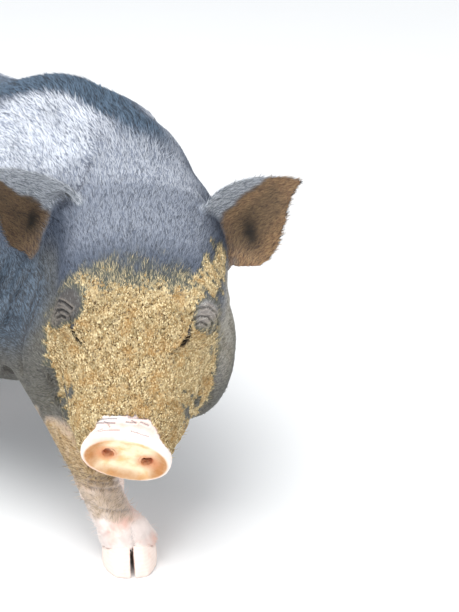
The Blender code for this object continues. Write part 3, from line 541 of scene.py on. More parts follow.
def on_ear(local, side):
    """Share of the way to the ear's tip, share of the way to its edge, which is below 0 on the upper
    side, and how surely it is the ear."""
    root = EAR_ROOT * (1, side, 1)
    leaf = EAR_TIPS[side] * (1, side, 1) - root
    share = ((local - root) @ leaf) / (leaf @ leaf)
    across = unit(np.cross(leaf, EAR_FACING * (1, side, 1))) * side
    edge = ((local - root) @ across) / np.interp(share, EAR_SHARES, EAR_HALVES)
    edge = np.where(edge > 0, edge / np.interp(share, EAR_SHARES, EAR_LOBES), edge)
    away = np.linalg.norm(local - root - np.clip(share, 0, 1)[:, None] * leaf, axis=1)
    near = np.nonzero(away < EAR_REACH)[0]
    gaps = [ear_solids[side].find_nearest(Vector(spot))[3] for spot in from_head(local[near])]
    sure = np.zeros(len(local))
    sure[near] = step(0.0060, 0.0020, np.array(gaps))
    return share, edge, sure


COAT_DEPTH = 0.0022
FACE_THINNER = 0.0010
COAT_LEAST = 0.0004


def coat_depth(places):
    """How deep the skin lies inside the solids: least on the snout, ears and feet."""
    local = in_head(places)
    face = step(0.02, 0.12, local[:, 0]) * step(-0.14, -0.10, local[:, 2])
    depth = COAT_DEPTH - FACE_THINNER * face
    for side in (1, -1):
        depth = depth * (1 - 0.92 * on_ear(local, side)[2])
    depth = depth * (1 - 0.85 * step(0.190, 0.200, local[:, 0]) * step(-0.11, -0.09, local[:, 2]))
    depth = depth * step(0.010, 0.09, places[:, 2])
    tail = step(0.395, 0.420, places[:, 1])
    return depth * (1 - 0.8 * tail) + COAT_LEAST


places = places_of(skin.data)
normals = normals_of(skin.data)
surface = surface_of(skin.data)
local = in_head(places)
move = -coat_depth(places)
# Painted shade darkens the furrows of the folds, wrinkles, lid rings, leg rings and toe clefts.
crease_shade = np.zeros(len(places))
ridge_highlight = np.zeros(len(places))
for folds, darkness in ((FOLDS, FOLD_SHADE), (WRINKLES, WRINKLE_SHADE)):
    for path, width, depth, lip in folds:
        fold = furrow(places, surface, path, width, depth, lip)
        move += fold
        crease_shade = np.maximum(crease_shade, -darkness * fold / depth)
slits = np.zeros(len(places))
for side in (1, -1):
    turned = [(f, side * s, u) for f, s, u in MOUTH]
    move += furrow(places, surface, turned, *MOUTH_SIZES)
    bulge = blob(local, (0.1010, side * 0.0700, 0.0310), (0.024, 0.022, 0.022))
    move += LID_BULGE * bulge
    for ring in LID_RINGS:
        turned = [(f, side * s, u) for f, s, u in ring]
        fold = furrow(places, surface, turned, *RING_SIZES)
        move += fold
        crease_shade = np.maximum(crease_shade, -FOLD_SHADE * fold / RING_SIZES[1])
        # Painted highlight along the raised lips of the lid rings.
        ridge_highlight = np.maximum(ridge_highlight, fold / RING_SIZES[2])
    line, halves = laid(surface, [(f, side * s, u, half) for f, s, u, half in SLIT], 0.0006)
    far, nearest = nearness(places, line, 0.012)
    half = halves[nearest, 0] * SLIT_OPEN[side]
    open_part = step(1.25, 0.75, far / half)
    rims = hump(far - half - 0.0018, 0.0014) * (far < 1)
    move += RIM_HEIGHT * rims - SLIT_DEPTH * open_part
    # Painted shade in and round the slit.
    slits = np.maximum(slits, step(2.1, 1.0, far / half))

# The disc of the snout is dished inside a rolled rim, and tilts with the head
DISC_MIDDLE = (0.003, -0.040)
DISC_TILT = math.radians(-15)
# Half its width, and its reach above and below its middle
DISC_HALVES = (0.0435, 0.033, 0.030)
DISC_DISH = 0.0024
DISC_ROLL = 0.0008
NOSTRIL_APART = 0.0197
NOSTRIL_ASIDE = 0.0013
NOSTRIL_UP = 0.0010
NOSTRIL_HALVES = (0.0068, 0.0064)


def on_disc_plane(local):
    """Places as (across the disc, up the disc), from its middle."""
    across = local[:, 1] - DISC_MIDDLE[0]
    height = local[:, 2] - DISC_MIDDLE[1]
    cosine, sine = math.cos(DISC_TILT), math.sin(DISC_TILT)
    return across * cosine + height * sine, height * cosine - across * sine


def disc_shares(local):
    """Share of the way from the middle of the disc to its edge."""
    across, height = on_disc_plane(local)
    return np.hypot(across / DISC_HALVES[0], height / np.where(height > 0, DISC_HALVES[1], DISC_HALVES[2]))


on_disc = step(0.205, 0.2125, local[:, 0])
disc_share = disc_shares(local)
front_face = on_disc * step(0.2, 0.7, normals @ HEAD_AXES[0])
move -= DISC_DISH * front_face * step(0.86, 0.62, disc_share)
move += DISC_ROLL * on_disc * hump(disc_share - 0.95, 0.10)

# Rings of loose skin above the near foot, with painted shade in their furrows
LEG_PLACE = np.array((-0.077, -0.400))
near_leg = step(0.10, 0.085, np.linalg.norm(places[:, :2] - LEG_PLACE, axis=1))
near_leg = near_leg * step(0.16, 0.13, places[:, 2])
for ring_height in LEG_RINGS:
    lowered = places[:, 2] - ring_height + 0.12 * (places[:, 0] - LEG_PLACE[0])
    ring = near_leg * hump(lowered, LEG_RING_WIDTH)
    move -= LEG_RING_DEPTH * ring
    crease_shade = np.maximum(crease_shade, 0.7 * ring)

# The cleft between the toes runs on up the front of each foot, under a soft band over the horn, with
# painted shade in the cleft
CORONET = 0.0262
CORONET_SWELL = 0.0012
for left, right in toe_pairs:
    between = np.array((left + right) / 2)
    sideways = unit(np.array((*(left - right).xy, 0.0)))
    off = (places - between) @ sideways
    foot = step(0.070, 0.060, np.linalg.norm(places[:, :2] - between[:2], axis=1))
    ahead = step(-0.01, 0.01, (places - between) @ np.cross(sideways, (0, 0, 1.0)) * -1)
    cleft = foot * step(CLEFT_TOP, CORONET + 0.006, places[:, 2]) * hump(off, CLEFT_HALF)
    move -= CLEFT_DEPTH * cleft * (0.25 + 0.75 * ahead)
    crease_shade = np.maximum(crease_shade, 0.8 * cleft)
    band = hump(places[:, 2] - CORONET - 0.003, 0.005)
    move += CORONET_SWELL * foot * band * (1 - cleft)

# Loose skin lies in soft wrinkles across the neck and the cheeks
WRINKLE_DEPTH = 0.0006
WRINKLE_SIZE = 0.0035
loose = step(0.02, -0.05, local[:, 0]) * step(-0.12, -0.16, local[:, 0]) * step(0.0, 0.05, local[:, 2])
move += WRINKLE_DEPTH * loose * np.sin(local[:, 0] / WRINKLE_SIZE + 2.0 * ripple(places, 0.10, 3))
put_places(skin.data, places + normals * move[:, None])

skin_surface = surface_of(skin.data)
# The smear of mud from above the left eye back to the left ear
MUD_TRAIL = (
    (0.0887, 0.0580, 0.0525), (0.0700, 0.0740, 0.0470), (0.0450, 0.0800, 0.0440),
    (0.0180, 0.0880, 0.0300),
)
NEAR_FOOT = np.array((-0.077, -0.385))


def strongest(first, *others):
    """The largest of several values at each place."""
    for other in others:
        first = np.maximum(first, other)
    return first


def markings(places, normals):
    """How strong each marking of the hide is at these places, from 0 to 1, with painted sheen and painted
    shade among them.
    """
    local = in_head(places)
    facing = normals @ HEAD_AXES.T
    f, s, u = local.T
    wide = np.abs(s)
    ragged = 0.006 * ripple(places, 0.022, 11) + 0.003 * ripple(places, 0.008, 12)

    # The bare pale skin of the snout: its top in a wedge, and the rim of the disc
    past = np.maximum(0.85 * np.maximum(np.abs(s - 0.003) - 0.0225, 0), 0.0135 * step(-0.028, -0.048, u))
    snout = step(0.1985, 0.2005, f - np.minimum(past, 0.0135) + 0.0012 * ripple(places, 0.006, 5))
    snout = snout * step(-0.100, -0.090, u) * step(0.07, 0.06, wide)

    # Dried mud over the face, from between the eyes to the snout, and up to the left ear
    mud = step(-0.064, 0.008, f - 0.111 - 0.50 * np.maximum(wide - 0.052, 0) - ragged)
    lowest = -0.022 - 0.050 * step(0.095, 0.150, f)
    mud = mud * step(-0.012, 0.004, u - lowest + ragged)
    sides = np.interp(f, (0.085, 0.110, 0.125, 0.140, 0.160), (0.088, 0.082, 0.077, 0.067, 0.056))
    mud = mud * step(0.006, -0.005, wide + ragged - sides)
    trail, _more = laid(skin_surface, MUD_TRAIL)
    far, _nearest = nearness(places, trail, 0.026)
    patch = step(0.022, 0.004, far + 1.2 * ragged) * (0.82 + 0.4 * ripple(places, 0.010, 7))
    mud = np.maximum(mud, np.clip(patch, 0, 0.88))
    lids = np.zeros(len(places))
    for side in (1, -1):
        lids = np.maximum(lids, blob(local, (0.0975, side * 0.0730, 0.031), (0.025, 0.022, 0.026)))
    # This blob lays the dark lid colour over the hollow above the right eye, as painted shade.
    lids = np.maximum(lids, blob(local, (0.100, -0.062, 0.043), (0.026, 0.023, 0.026)))
    mud = mud * (1 - lids * (0.95 - 0.5 * (s > 0) * step(0.034, 0.022, u))) * (1 - snout)

    # Each ear has a brown cup with painted shade in its hollow, a grey upper edge, and warmer hair at its
    # ends
    ears = np.zeros(len(places))
    cup = np.zeros(len(places))
    deep = np.zeros(len(places))
    warm = np.zeros(len(places))
    for side in (1, -1):
        share, edge, ear = on_ear(local, side)
        toward = facing @ (EAR_FACING * (1, side, 1))
        halves = (0.15, 0.42, 0.62, 1.05) if side > 0 else (0.05, -0.02, -0.10, -0.12)
        rim = -np.interp(share, (0.0, 0.3, 0.6, 0.8), halves)
        inner = ear * step(0.02, 0.30, toward) * step(-0.10, 0.12, edge - rim + ragged * 12)
        inner = inner * step(-0.10, 0.10, share + 0.12 * (edge > 0) + ragged * 6)
        slanted = share - 0.22 + 0.22 * (edge - 0.40)
        hollow = hump(slanted, 0.11) * hump(edge - 0.40, 0.36)
        lower = step(0.50, 0.90, edge) * step(0.85, 0.50, share)
        upper = 0.8 * hump(edge - rim - 0.22, 0.16) * step(0.02, 0.20, share)
        brim = strongest(step(0.62, 0.90, share), lower, upper)
        ears = np.maximum(ears, ear * step(-0.08, 0.10, share))
        cup = np.maximum(cup, inner)
        warm = np.maximum(warm, inner * brim * (1.0 if side > 0 else 0.4))
        # The deep mark is painted shade: in the hollow of each cup, and at almost half strength over the
        # whole right cup.
        deep = np.maximum(deep, inner * np.maximum(hollow, 0.0 if side > 0 else 0.45))
    mud = mud * (1 - cup)

    x, y, z = places.T
    # Painted sheen: lighter patches on both shoulders, the upper flanks, the brow and the nape stand for
    # light glancing off the bristles. The same mask also holds real paler hair on the ear backs, the left
    # lids and the left cheek.
    shoulder = blob(places, (-0.050, -0.238, 0.398), (0.100, 0.092, 0.080))
    shoulder = shoulder * (0.70 + 0.12 * ripple(places, 0.05, 9))
    other = 0.6 * blob(places, (0.10, -0.180, 0.355), (0.09, 0.12, 0.075))
    # Painted shade: the crest mark darkens a band along the top of the back, where the outline is seen edge
    # on, and its teal tips stand for a painted reflection.
    start = np.interp(y, (-0.300, -0.249, -0.227, -0.205, -0.175), (0.034, 0.008, -0.003, -0.025, -0.050))
    start = start - 0.012 + 0.010 * ripple(places, 0.05, 10)
    crest = step(start, start + 0.018, x) * step(0.085, 0.055, x) * step(0.350, 0.385, z)
    crest = crest * (1 - 0.5 * step(-0.15, 0.10, y)) * step(-0.31, -0.28, y)
    # A painted shadow on the right flank below the ear joins the crest's painted shade and takes the brown
    # out there.
    shadow = blob(places, (-0.110, -0.272, 0.250), (0.060, 0.080, 0.080))
    crest = np.maximum(crest, 0.8 * shadow)
    flank = 0.45 * step(0.22, 0.38, z) * step(-0.20, -0.05, y) * (0.7 + 0.35 * ripple(places, 0.16, 8))
    crown = step(0.03, 0.07, u)
    nape = 0.42 * step(0.00, -0.04, f) * step(-0.16, -0.10, f) * crown * step(0.12, 0.08, wide)
    brow = 0.27 * step(0.075, 0.03, f) * step(-0.10, -0.05, f) * crown * step(0.09, 0.07, wide)
    paler_and_sheen = strongest(shoulder, other, flank, brow, nape)
    paler_and_sheen = paler_and_sheen * (1 - 0.9 * crest)
    paler_and_sheen = np.maximum(paler_and_sheen, 0.62 * ears * (1 - cup))
    paler_and_sheen = np.maximum(paler_and_sheen, 0.80 * lids * step(0.0, 0.02, s))

    cheeks = step(0.050, 0.068, wide + 0.014 * step(0.10, 0.14, f))
    cheeks = cheeks * step(-0.02, 0.03, f) * step(0.040, 0.010, u)
    under = step(-0.060, -0.085, u) * step(-0.06, 0.0, f) * step(0.24, 0.20, f)
    belly = 0.6 * step(0.14, 0.10, z) * step(-0.24, -0.18, y)
    brown = strongest(cheeks, under, belly) * (1 - 0.7 * shadow)
    paler_and_sheen = np.maximum(paler_and_sheen, 0.75 * cheeks * step(0.070, 0.090, s) * step(-0.07, -0.02, u))

    # The feet are pale; the near foreleg is pale inside, under tan hair that stops above the toes
    near = step(0.12, 0.10, np.linalg.norm(places[:, :2] - NEAR_FOOT, axis=1))
    near = near * step(0.140, 0.125, z + 0.01 * ripple(places, 0.03, 21)) * step(-0.06, -0.08, u)
    socks = step(0.070, 0.055, z + 0.008 * ripple(places, 0.03, 22))
    pale = strongest(near, socks, snout)
    inside = x - np.interp(z, (0.036, 0.064, 0.125), (-0.062, -0.068, -0.080)) + 0.6 * ragged
    shin = near * step(0.018, 0.002, inside) * step(0.040, 0.060, z + ragged)
    shin = shin * (0.60 + 0.40 * step(0.076, 0.092, z))

    share = disc_shares(local)
    across, height = on_disc_plane(local)
    face = step(0.2075, 0.2110, f) * step(0.985, 0.90, share + 0.4 * ragged)
    ends = face * np.maximum(step(0.017, 0.034, np.abs(across)), 0.8 * step(-0.012, -0.024, height))
    nostrils = np.zeros(len(places))
    blush = np.zeros(len(places))
    for side in (1, -1):
        far = np.hypot((across - NOSTRIL_ASIDE - side * NOSTRIL_APART) / NOSTRIL_HALVES[0],
                       (height - NOSTRIL_UP) / NOSTRIL_HALVES[1])
        nostrils = np.maximum(nostrils, step(1.05, 0.55, far) * step(0.190, 0.198, f))
        blush = np.maximum(blush, face * step(2.4, 0.8, far))
    return {
        "mud": mud, "cup": cup, "ears": ears, "paler_and_sheen": paler_and_sheen, "brown": brown, "pale": pale,
        "shin": shin, "disc": face, "ends": ends, "nostrils": nostrils, "blush": blush,
        "deep": deep, "warm": warm, "lids": lids, "crest": crest, "snout": snout,
    }


def set_values(mesh, name, values):
    layer = mesh.attributes.new(name, "FLOAT", "POINT")
    layer.data.foreach_set("value", np.asarray(values, np.float32).ravel())


# The colours of the hide, as a screen shows them
DARK_SKIN = paint(58, 68, 84)
PALER_AND_SHEEN_SKIN = paint(170, 178, 196)
CREST_SHADE_SKIN = paint(42, 62, 80)
BROWN_SKIN = paint(90, 86, 76)
FAWN_SKIN = paint(152, 142, 122)
OLIVE = paint(86, 87, 72)
MUD_DARK = paint(104, 84, 56)
MUD_TAN = paint(174, 148, 104)
MUD_PALE = paint(224, 204, 160)
MUD_GOLD = paint(178, 138, 82)
MUD_OLIVE = paint(122, 106, 70)
CUP_BROWN = paint(112, 90, 70)
CUP_WARM = paint(140, 106, 80)
CUP_HOLLOW_SHADE = paint(44, 38, 32)
EAR_BACK = paint(122, 128, 134)
LID_SKIN = paint(84, 78, 72)
LID_PALE = paint(158, 147, 134)
RIDGE_HIGHLIGHT = paint(188, 176, 162)
PALE_SKIN = paint(246, 232, 226)
PINK_SKIN = paint(244, 200, 184)
SHIN_TAN = paint(164, 134, 94)
DISC_PEACH = paint(240, 192, 132)
DISC_CREAM = paint(250, 230, 196)
DISC_TAN = paint(184, 124, 68)
NOSTRIL_BLUSH = paint(214, 138, 96)
NOSTRIL_RED = paint(166, 88, 58)
CREVICE_SHADE = paint(46, 38, 36)
PALE_CREASE_SHADE = paint(98, 106, 120)


def hide_colour(finish):
    """The markings of the hide, with its painted sheen and painted shade, which the skin and its coat
    share.
    """
    marking = {name: finish.marking(name) for name in (
        "mud", "cup", "ears", "paler_and_sheen", "brown", "pale", "shin", "disc", "ends", "nostrils", "blush",
        "deep", "warm", "lids", "crest")}
    mottle = finish.grain(0.035)
    fine = finish.grain(0.0035)
    brown_tone = finish.mix(marking["paler_and_sheen"], BROWN_SKIN, FAWN_SKIN)
    cup_tone = finish.layered(
        CUP_BROWN,
        (marking["warm"] * (0.4 + finish.grain(0.012) * 0.9), CUP_WARM),
        ((marking["deep"] * (0.6 + finish.grain(0.010) * 0.8)).clamped(), CUP_HOLLOW_SHADE),
    )
    lid_tone = finish.mix(marking["paler_and_sheen"], LID_SKIN, LID_PALE)
    crust = (marking["mud"] * 1.5 + fine * 1.3 - 1.25).ramp(0.0, 0.35)
    grit = finish.cells(0.0030, out="Color")
    mud_tone = finish.layered(
        MUD_TAN,
        (finish.node("SeparateColor", None, {0: grit}), MUD_PALE),
        (finish.grain(0.020).ramp(0.48, 0.66) * 0.6, MUD_GOLD),
        (finish.grain(0.011).ramp(0.54, 0.70) * 0.5, MUD_OLIVE),
        (fine.ramp(0.52, 0.32), MUD_DARK),
    )
    blush = finish.grain(0.03).ramp(0.45, 0.75) * (1 - marking["shin"])
    pale_tone = finish.mix(blush, PALE_SKIN, PINK_SKIN)
    disc_tone = finish.layered(
        DISC_PEACH,
        (finish.grain(0.014).ramp(0.30, 0.60), DISC_CREAM),
        ((marking["ends"] * (0.50 + finish.grain(0.008) * 0.8)).clamped(), DISC_TAN),
        (marking["blush"] * 0.75, NOSTRIL_BLUSH),
    )
    colour = finish.layered(
        DARK_SKIN,
        ((marking["paler_and_sheen"] * (0.55 + mottle * 0.9)).clamped(), PALER_AND_SHEEN_SKIN),
        (marking["crest"] * 0.8, CREST_SHADE_SKIN),
        ((marking["brown"] * (0.45 + mottle * 0.8)).clamped(), brown_tone),
        (marking["ears"] * 0.8, EAR_BACK),
        (marking["cup"], cup_tone),
        (marking["lids"] * 0.8, lid_tone),
        (marking["mud"].ramp(0.02, 0.35) * 0.85, OLIVE),
        (crust, mud_tone),
        (marking["pale"], pale_tone),
        ((marking["shin"] * (0.5 + finish.grain(0.006))).clamped(), SHIN_TAN),
        (marking["disc"], disc_tone),
        (marking["nostrils"] * 0.85, NOSTRIL_RED),
    )
    return colour, marking, crust


hide = Finish("hide", Specular_IOR_Level=0.35)
hide_tone, hide_marks, hide_crust = hide_colour(hide)
creased = hide.cells(0.0042, "DISTANCE_TO_EDGE")
fine_creases = hide.cells(0.0017, "DISTANCE_TO_EDGE")
# Painted shade along the fine cracks of the hide, away from the disc and the pale skin.
crack_shade = (creased.ramp(0.10, 0.0) * 0.25) * (1 - hide_marks["disc"]) * (1 - hide_marks["pale"])
# Painted shade in the creases, in and round the eye slits and in the fine cracks of the hide, and a painted
# highlight along the lid ridges
hide_tone = hide.layered(
    hide_tone,
    (hide.marking("ridge_highlight") * 0.25, RIDGE_HIGHLIGHT),
    (hide.marking("crease_shade") * 0.75, hide.mix(hide_marks["pale"], CREVICE_SHADE, PALE_CREASE_SHADE)),
    (hide.marking("slits"), CREVICE_SHADE),
    (crack_shade, CREVICE_SHADE),
)
hide_rough = 0.62 + hide_crust * 0.3 - hide_marks["disc"] * 0.22
hide_height = creased.ramp(0.0, 0.18) * 0.5 + fine_creases.ramp(0.0, 0.2) * 0.25 + hide.grain(0.0012) * 0.25
hide_height = hide_height * (1 - (hide_marks["disc"] + hide_marks["pale"]).clamped() * 0.7)
hide_height = hide_height + hide_crust * hide.cells(0.0026) * 2.4
skin.data.materials.clear()
skin.data.materials.append(hide.finished(hide_tone, hide_rough, hide_height, 0.0010, 0.8))

# The mud lies in lumps, thicker here and thinner there: height, size and seed
MUD_LUMPS = ((0.0007, 0.013, 31), (0.0005, 0.0065, 32))
places = places_of(skin.data)
normals = normals_of(skin.data)
skin_marks = markings(places, normals)
lumps = sum(height * ripple(places, size, seed, 9) for height, size, seed in MUD_LUMPS)
put_places(skin.data, places + normals * (lumps * step(0.25, 0.80, skin_marks["mud"]))[:, None])
places = places_of(skin.data)
normals = normals_of(skin.data)
for name, values in skin_marks.items():
    set_values(skin.data, name, values)
set_values(skin.data, "slits", slits)
set_values(skin.data, "crease_shade", np.clip(crease_shade, 0, 1))
set_values(skin.data, "ridge_highlight", np.clip(ridge_highlight, 0, 1) * skin_marks["lids"])
skin.data.shade_smooth()
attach(skin, "root")
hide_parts(*FLESH, "tail")

# Eyes. Small dark glossy balls, deep between the lids, each with a brown iris round its pupil and
# a clear cornea that stands a little ahead of the white.
EYE_FACING = Vector((0.62, 0.55, 0.56))
CORNEA_STANDS = 0.0006
EYE_AHEAD = 0.0004
PUPIL = paint(12, 9, 8)
IRIS_BROWN = paint(58, 36, 22)
IRIS_FLECK = paint(20, 14, 12)
EYE_WHITE = paint(60, 44, 38)
eye_gloss = Finish("eye_gloss", Roughness=0.06, Coat_Weight=1.0, Coat_Roughness=0.03)
iris = eye_gloss.marking("iris")
eye_tone = eye_gloss.layered(
    PUPIL,
    (iris.ramp(0.30, 0.36), IRIS_BROWN),
    (iris.ramp(0.62, 0.72), EYE_WHITE),
    (eye_gloss.grain(0.0008) * 0.4, IRIS_FLECK),
)
eye_finish = eye_gloss.finished(eye_tone, 0.06)
for side, side_name in ((1, "left"), (-1, "right")):
    facing = from_head(np.array(EYE_FACING) * (1, side, 1)) - HEAD_PLACE
    facing = Vector(facing).normalized()
    centre = centre_of("eye_" + side_name) + facing * EYE_AHEAD
    bpy.ops.object.select_all(action="DESELECT")
    bpy.ops.mesh.primitive_uv_sphere_add(segments=40, ring_count=24, radius=EYE_RADIUS, location=(0, 0, 0))
    ball = bpy.context.object
    ball.name = "eyeball_" + side_name
    turn = facing.to_track_quat("Z", "Y")
    spread = []
    for vert in ball.data.vertices:
        away = math.acos(max(-1.0, min(1.0, vert.co.z / EYE_RADIUS))) / (math.pi / 2)
        spread.append(away)
        swell = 1 + CORNEA_STANDS / EYE_RADIUS * max(0.0, 1 - (away / 0.62) ** 2)
        vert.co = turn @ (vert.co * swell) + centre
    set_values(ball.data, "iris", spread)
    ball.data.materials.append(eye_finish)
    ball.data.shade_smooth()
    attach(ball, "root")
    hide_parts("eye_" + side_name)

# Hooves and dewclaws. Each foot ends in two horn toes with a deep cleft, and two small dewclaws
# stand above the heel; the horn grows in fine rings and is pale, with warmer patches.
HORN_VOXEL = 0.0013
HORN_SUNK = 0.0035
HORN_PALE = paint(242, 224, 214)
HORN_RING = paint(214, 182, 164)
HORN_WARM = paint(214, 170, 152)
horn = Finish("horn", Specular_IOR_Level=0.5)
rings = horn.node("TexWave", {"wave_type": "BANDS", "bands_direction": "Z"}, {
    "Vector": horn.place, "Scale": 90.0, "Distortion": 2.2, "Detail": 2.0, "Detail Scale": 1.6})
warm = horn.grain(0.012).ramp(0.5, 0.8) * 0.35
horn_tone = horn.layered(HORN_PALE, (rings * 0.12, HORN_RING), (warm, HORN_WARM))
horn_height = rings * 0.5 + horn.grain(0.0015) * 0.4
horn_finish = horn.finished(horn_tone, 0.50 + rings * 0.1, horn_height, 0.0004, 0.5)
for node in sorted(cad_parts):
    if "_hoof_" not in node and "_dewclaw_" not in node:
        continue
    solid = joined_solid(node)
    toe_mesh = bpy.data.meshes.new("horn_" + node)
    solid.to_mesh(toe_mesh)
    solid.free()
    toe = new_piece("horn_" + node, toe_mesh)
    applied(toe, "REMESH", mode="VOXEL", voxel_size=HORN_VOXEL, use_smooth_shade=True)
    applied(toe, "SMOOTH", factor=0.5, iterations=6)
    applied(toe, "DECIMATE", ratio=0.45)
    top_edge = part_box(node)[1].z
    for vert in toe.data.vertices:
        vert.co.z += HORN_SUNK * float(step(top_edge - 0.004, top_edge - 0.001, vert.co.z))
        vert.co.z = max(vert.co.z, 0.0)
    toe.data.materials.clear()
    toe.data.materials.append(horn_finish)
    toe.data.shade_smooth()
    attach(toe, "root")
    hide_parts(node)

# Coat. Short coarse bristles with pale tips over the dark hide, lying back from the snout, along
# the body and down the legs: longest on the crest and the tail, finest on the face and ears.
SUNK = 0.0002
INSIDE = 0.0003
PATCH = 0.003
PIECE_TRIANGLES = 190000
# A tuft is a three-sided point: its sections' share of the length and of the width, then the tip
SHORT_TUFT = ((0.0, 0.5),)
LONG_TUFT = ((0.0, 0.5), (0.5, 0.4))
SWITCH_TUFT = ((0.0, 0.5), (0.3, 0.5), (0.6, 0.4), (0.85, 0.22))
RING = ((-1.0, 0.0), (1.0, 0.0), (0.0, 0.9))

corners = np.array([tuple(p.vertices) for p in skin.data.polygons if len(p.vertices) == 3])
corner_places = places[corners]
face_area = np.linalg.norm(np.cross(
    corner_places[:, 1] - corner_places[:, 0], corner_places[:, 2] - corner_places[:, 0]), axis=1) / 2
face_middle = corner_places.mean(1)
face_marks = {name: values[corners].mean(1) for name, values in skin_marks.items()}
face_slits = slits[corners].max(1)

unwrap = new_piece("unwrap", skin.data.copy())
applied(unwrap, "DECIMATE", ratio=0.08)
bpy.ops.object.select_all(action="DESELECT")
unwrap.select_set(True)
bpy.context.view_layer.objects.active = unwrap
bpy.ops.object.mode_set(mode="EDIT")
bpy.ops.mesh.select_all(action="SELECT")
bpy.ops.uv.smart_project(angle_limit=math.radians(60), island_margin=0.003)
bpy.ops.object.mode_set(mode="OBJECT")
unwrap.data.calc_loop_triangles()
flat_corners = np.array([tuple(t.vertices) for t in unwrap.data.loop_triangles])
flat_loops = np.array([tuple(t.loops) for t in unwrap.data.loop_triangles])
flat_places = places_of(unwrap.data)
flat_map = np.empty(len(unwrap.data.loops) * 2, np.float32)
unwrap.data.uv_layers.active.data.foreach_get("uv", flat_map)
flat_map = flat_map.reshape(-1, 2)
flat_surface = BVHTree.FromPolygons(flat_places.tolist(), flat_corners.tolist())
bpy.data.objects.remove(unwrap)


def spot_on_map(spots):
    """Each place's spot on the unwrapped skin."""
    found = [flat_surface.find_nearest(Vector(spot))[0::2] for spot in spots]
    near = np.array([tuple(where) for where, _face in found])
    face = np.array([number for _where, number in found])
    a, b, c = (flat_places[flat_corners[face, k]] for k in range(3))
    first, second, reach = b - a, c - a, near - a
    d00, d01, d11 = dot(first, first), dot(first, second), dot(second, second)
    d20, d21 = dot(reach, first), dot(reach, second)
    scale = np.maximum(d00 * d11 - d01 * d01, 1e-18)
    v = np.clip((d11 * d20 - d01 * d21) / scale, 0, 1)
    w = np.clip((d00 * d21 - d01 * d20) / scale, 0, 1 - v)
    maps = [flat_map[flat_loops[face, k]] for k in range(3)]
    return maps[0] * (1 - v - w)[:, None] + maps[1] * v[:, None] + maps[2] * w[:, None]


def scattered(count, weight, dice):
    """Random places on the skin, more where the weight is more, with their normals."""
    chance = face_area * weight
    face = dice.choice(len(chance), count, p=chance / chance.sum())
    a, b = dice.random((2, count))
    over = a + b > 1
    a[over], b[over] = 1 - a[over], 1 - b[over]
    share = np.stack([1 - a - b, a, b], 1)[..., None]
    spots = (places[corners[face]] * share).sum(1)
    upward = unit((normals[corners[face]] * share).sum(1))
    return spots, upward


def lie_of(spots):
    """Which way the coat lies: back over the head, along the body, out along the ears, down the legs."""
    local = in_head(spots)
    s = local[:, 1:2]
    back = -HEAD_AXES[0] + 0.25 * np.sign(s) * step(0.03, 0.09, np.abs(s)) * HEAD_AXES[1]
    back = back - 0.45 * step(0.02, -0.06, local[:, 2:3]) * HEAD_AXES[2]
    along = np.array((0, 1.0, 0)) - step(0.36, 0.16, spots[:, 2:3]) * np.array((0, 0, 0.9))
    share = step(0.0, -0.12, local[:, 0:1]) * np.ones((1, 3))
    way = unit(back) * (1 - share) + unit(along) * share
    legs = step(0.17, 0.11, spots[:, 2:3]) * step(-0.13, -0.16, local[:, 2:3])
    legs = np.maximum(legs, step(0.15, 0.10, spots[:, 2:3]) * step(-0.25, -0.20, spots[:, 1:2]))
    way = way * (1 - legs) + np.array((0, 0.12, -1.0)) * legs
    tail = step(0.425, 0.440, spots[:, 1:2])
    way = way * (1 - tail) + np.array((0, 0.10, -1.0)) * tail
    for side in (1, -1):
        share, _edge, sure = on_ear(local, side)
        leaf = (EAR_TIPS[side] - EAR_ROOT) * (1, side, 1)
        ear = (sure * step(0.0, 0.2, share))[:, None]
        way = way * (1 - ear) + unit(leaf @ HEAD_AXES) * ear
    return unit(way)


def lying(spots, upward, sway, dice):
    """Directions along the lie of the coat and across it at each spot, each turned a little at random."""
    way = lie_of(spots)
    along = unit(way - dot(way, upward)[:, None] * upward)
    turn = dice.normal(0, sway, len(spots))[:, None]
    along = unit(along * np.cos(turn) + np.cross(upward, along) * np.sin(turn))
    return along, np.cross(upward, along)


def mesh_of(name, verts, faces, attributes, maps, soft):
    """A mesh of many small closed shapes, with their attributes, spots on the unwrap and soft normals."""
    mesh = bpy.data.meshes.new(name)
    mesh.vertices.add(len(verts))
    mesh.vertices.foreach_set("co", verts.astype(np.float32).ravel())
    mesh.loops.add(faces.size)
    mesh.loops.foreach_set("vertex_index", faces.astype(np.int32).ravel())
    mesh.polygons.add(len(faces))
    mesh.polygons.foreach_set("loop_start", np.arange(len(faces), dtype=np.int32) * 3)
    mesh.update()
    for label, values in attributes.items():
        set_values(mesh, label, values)
    layer = mesh.uv_layers.new(name="OFBake")
    layer.data.foreach_set("uv", maps[faces.ravel()].astype(np.float32).ravel())
    mesh.shade_smooth()
    if soft is not None:
        mesh.normals_split_custom_set_from_vertices(soft.astype(np.float32))
    return mesh


def tuft_faces(sections):
    """Triangles of one tuft, pointing out: root, sides and tip."""
    faces = [(0, 2, 1)]
    for low in range(0, 3 * (sections - 1), 3):
        for a, b in ((0, 1), (1, 2), (2, 0)):
            faces += [(low + a, low + b, low + b + 3), (low + a, low + b + 3, low + a + 3)]
    last = 3 * sections
    a, b, c = last - 3, last - 2, last - 1
    return np.array(faces + [(a, b, last), (b, c, last), (c, a, last)])


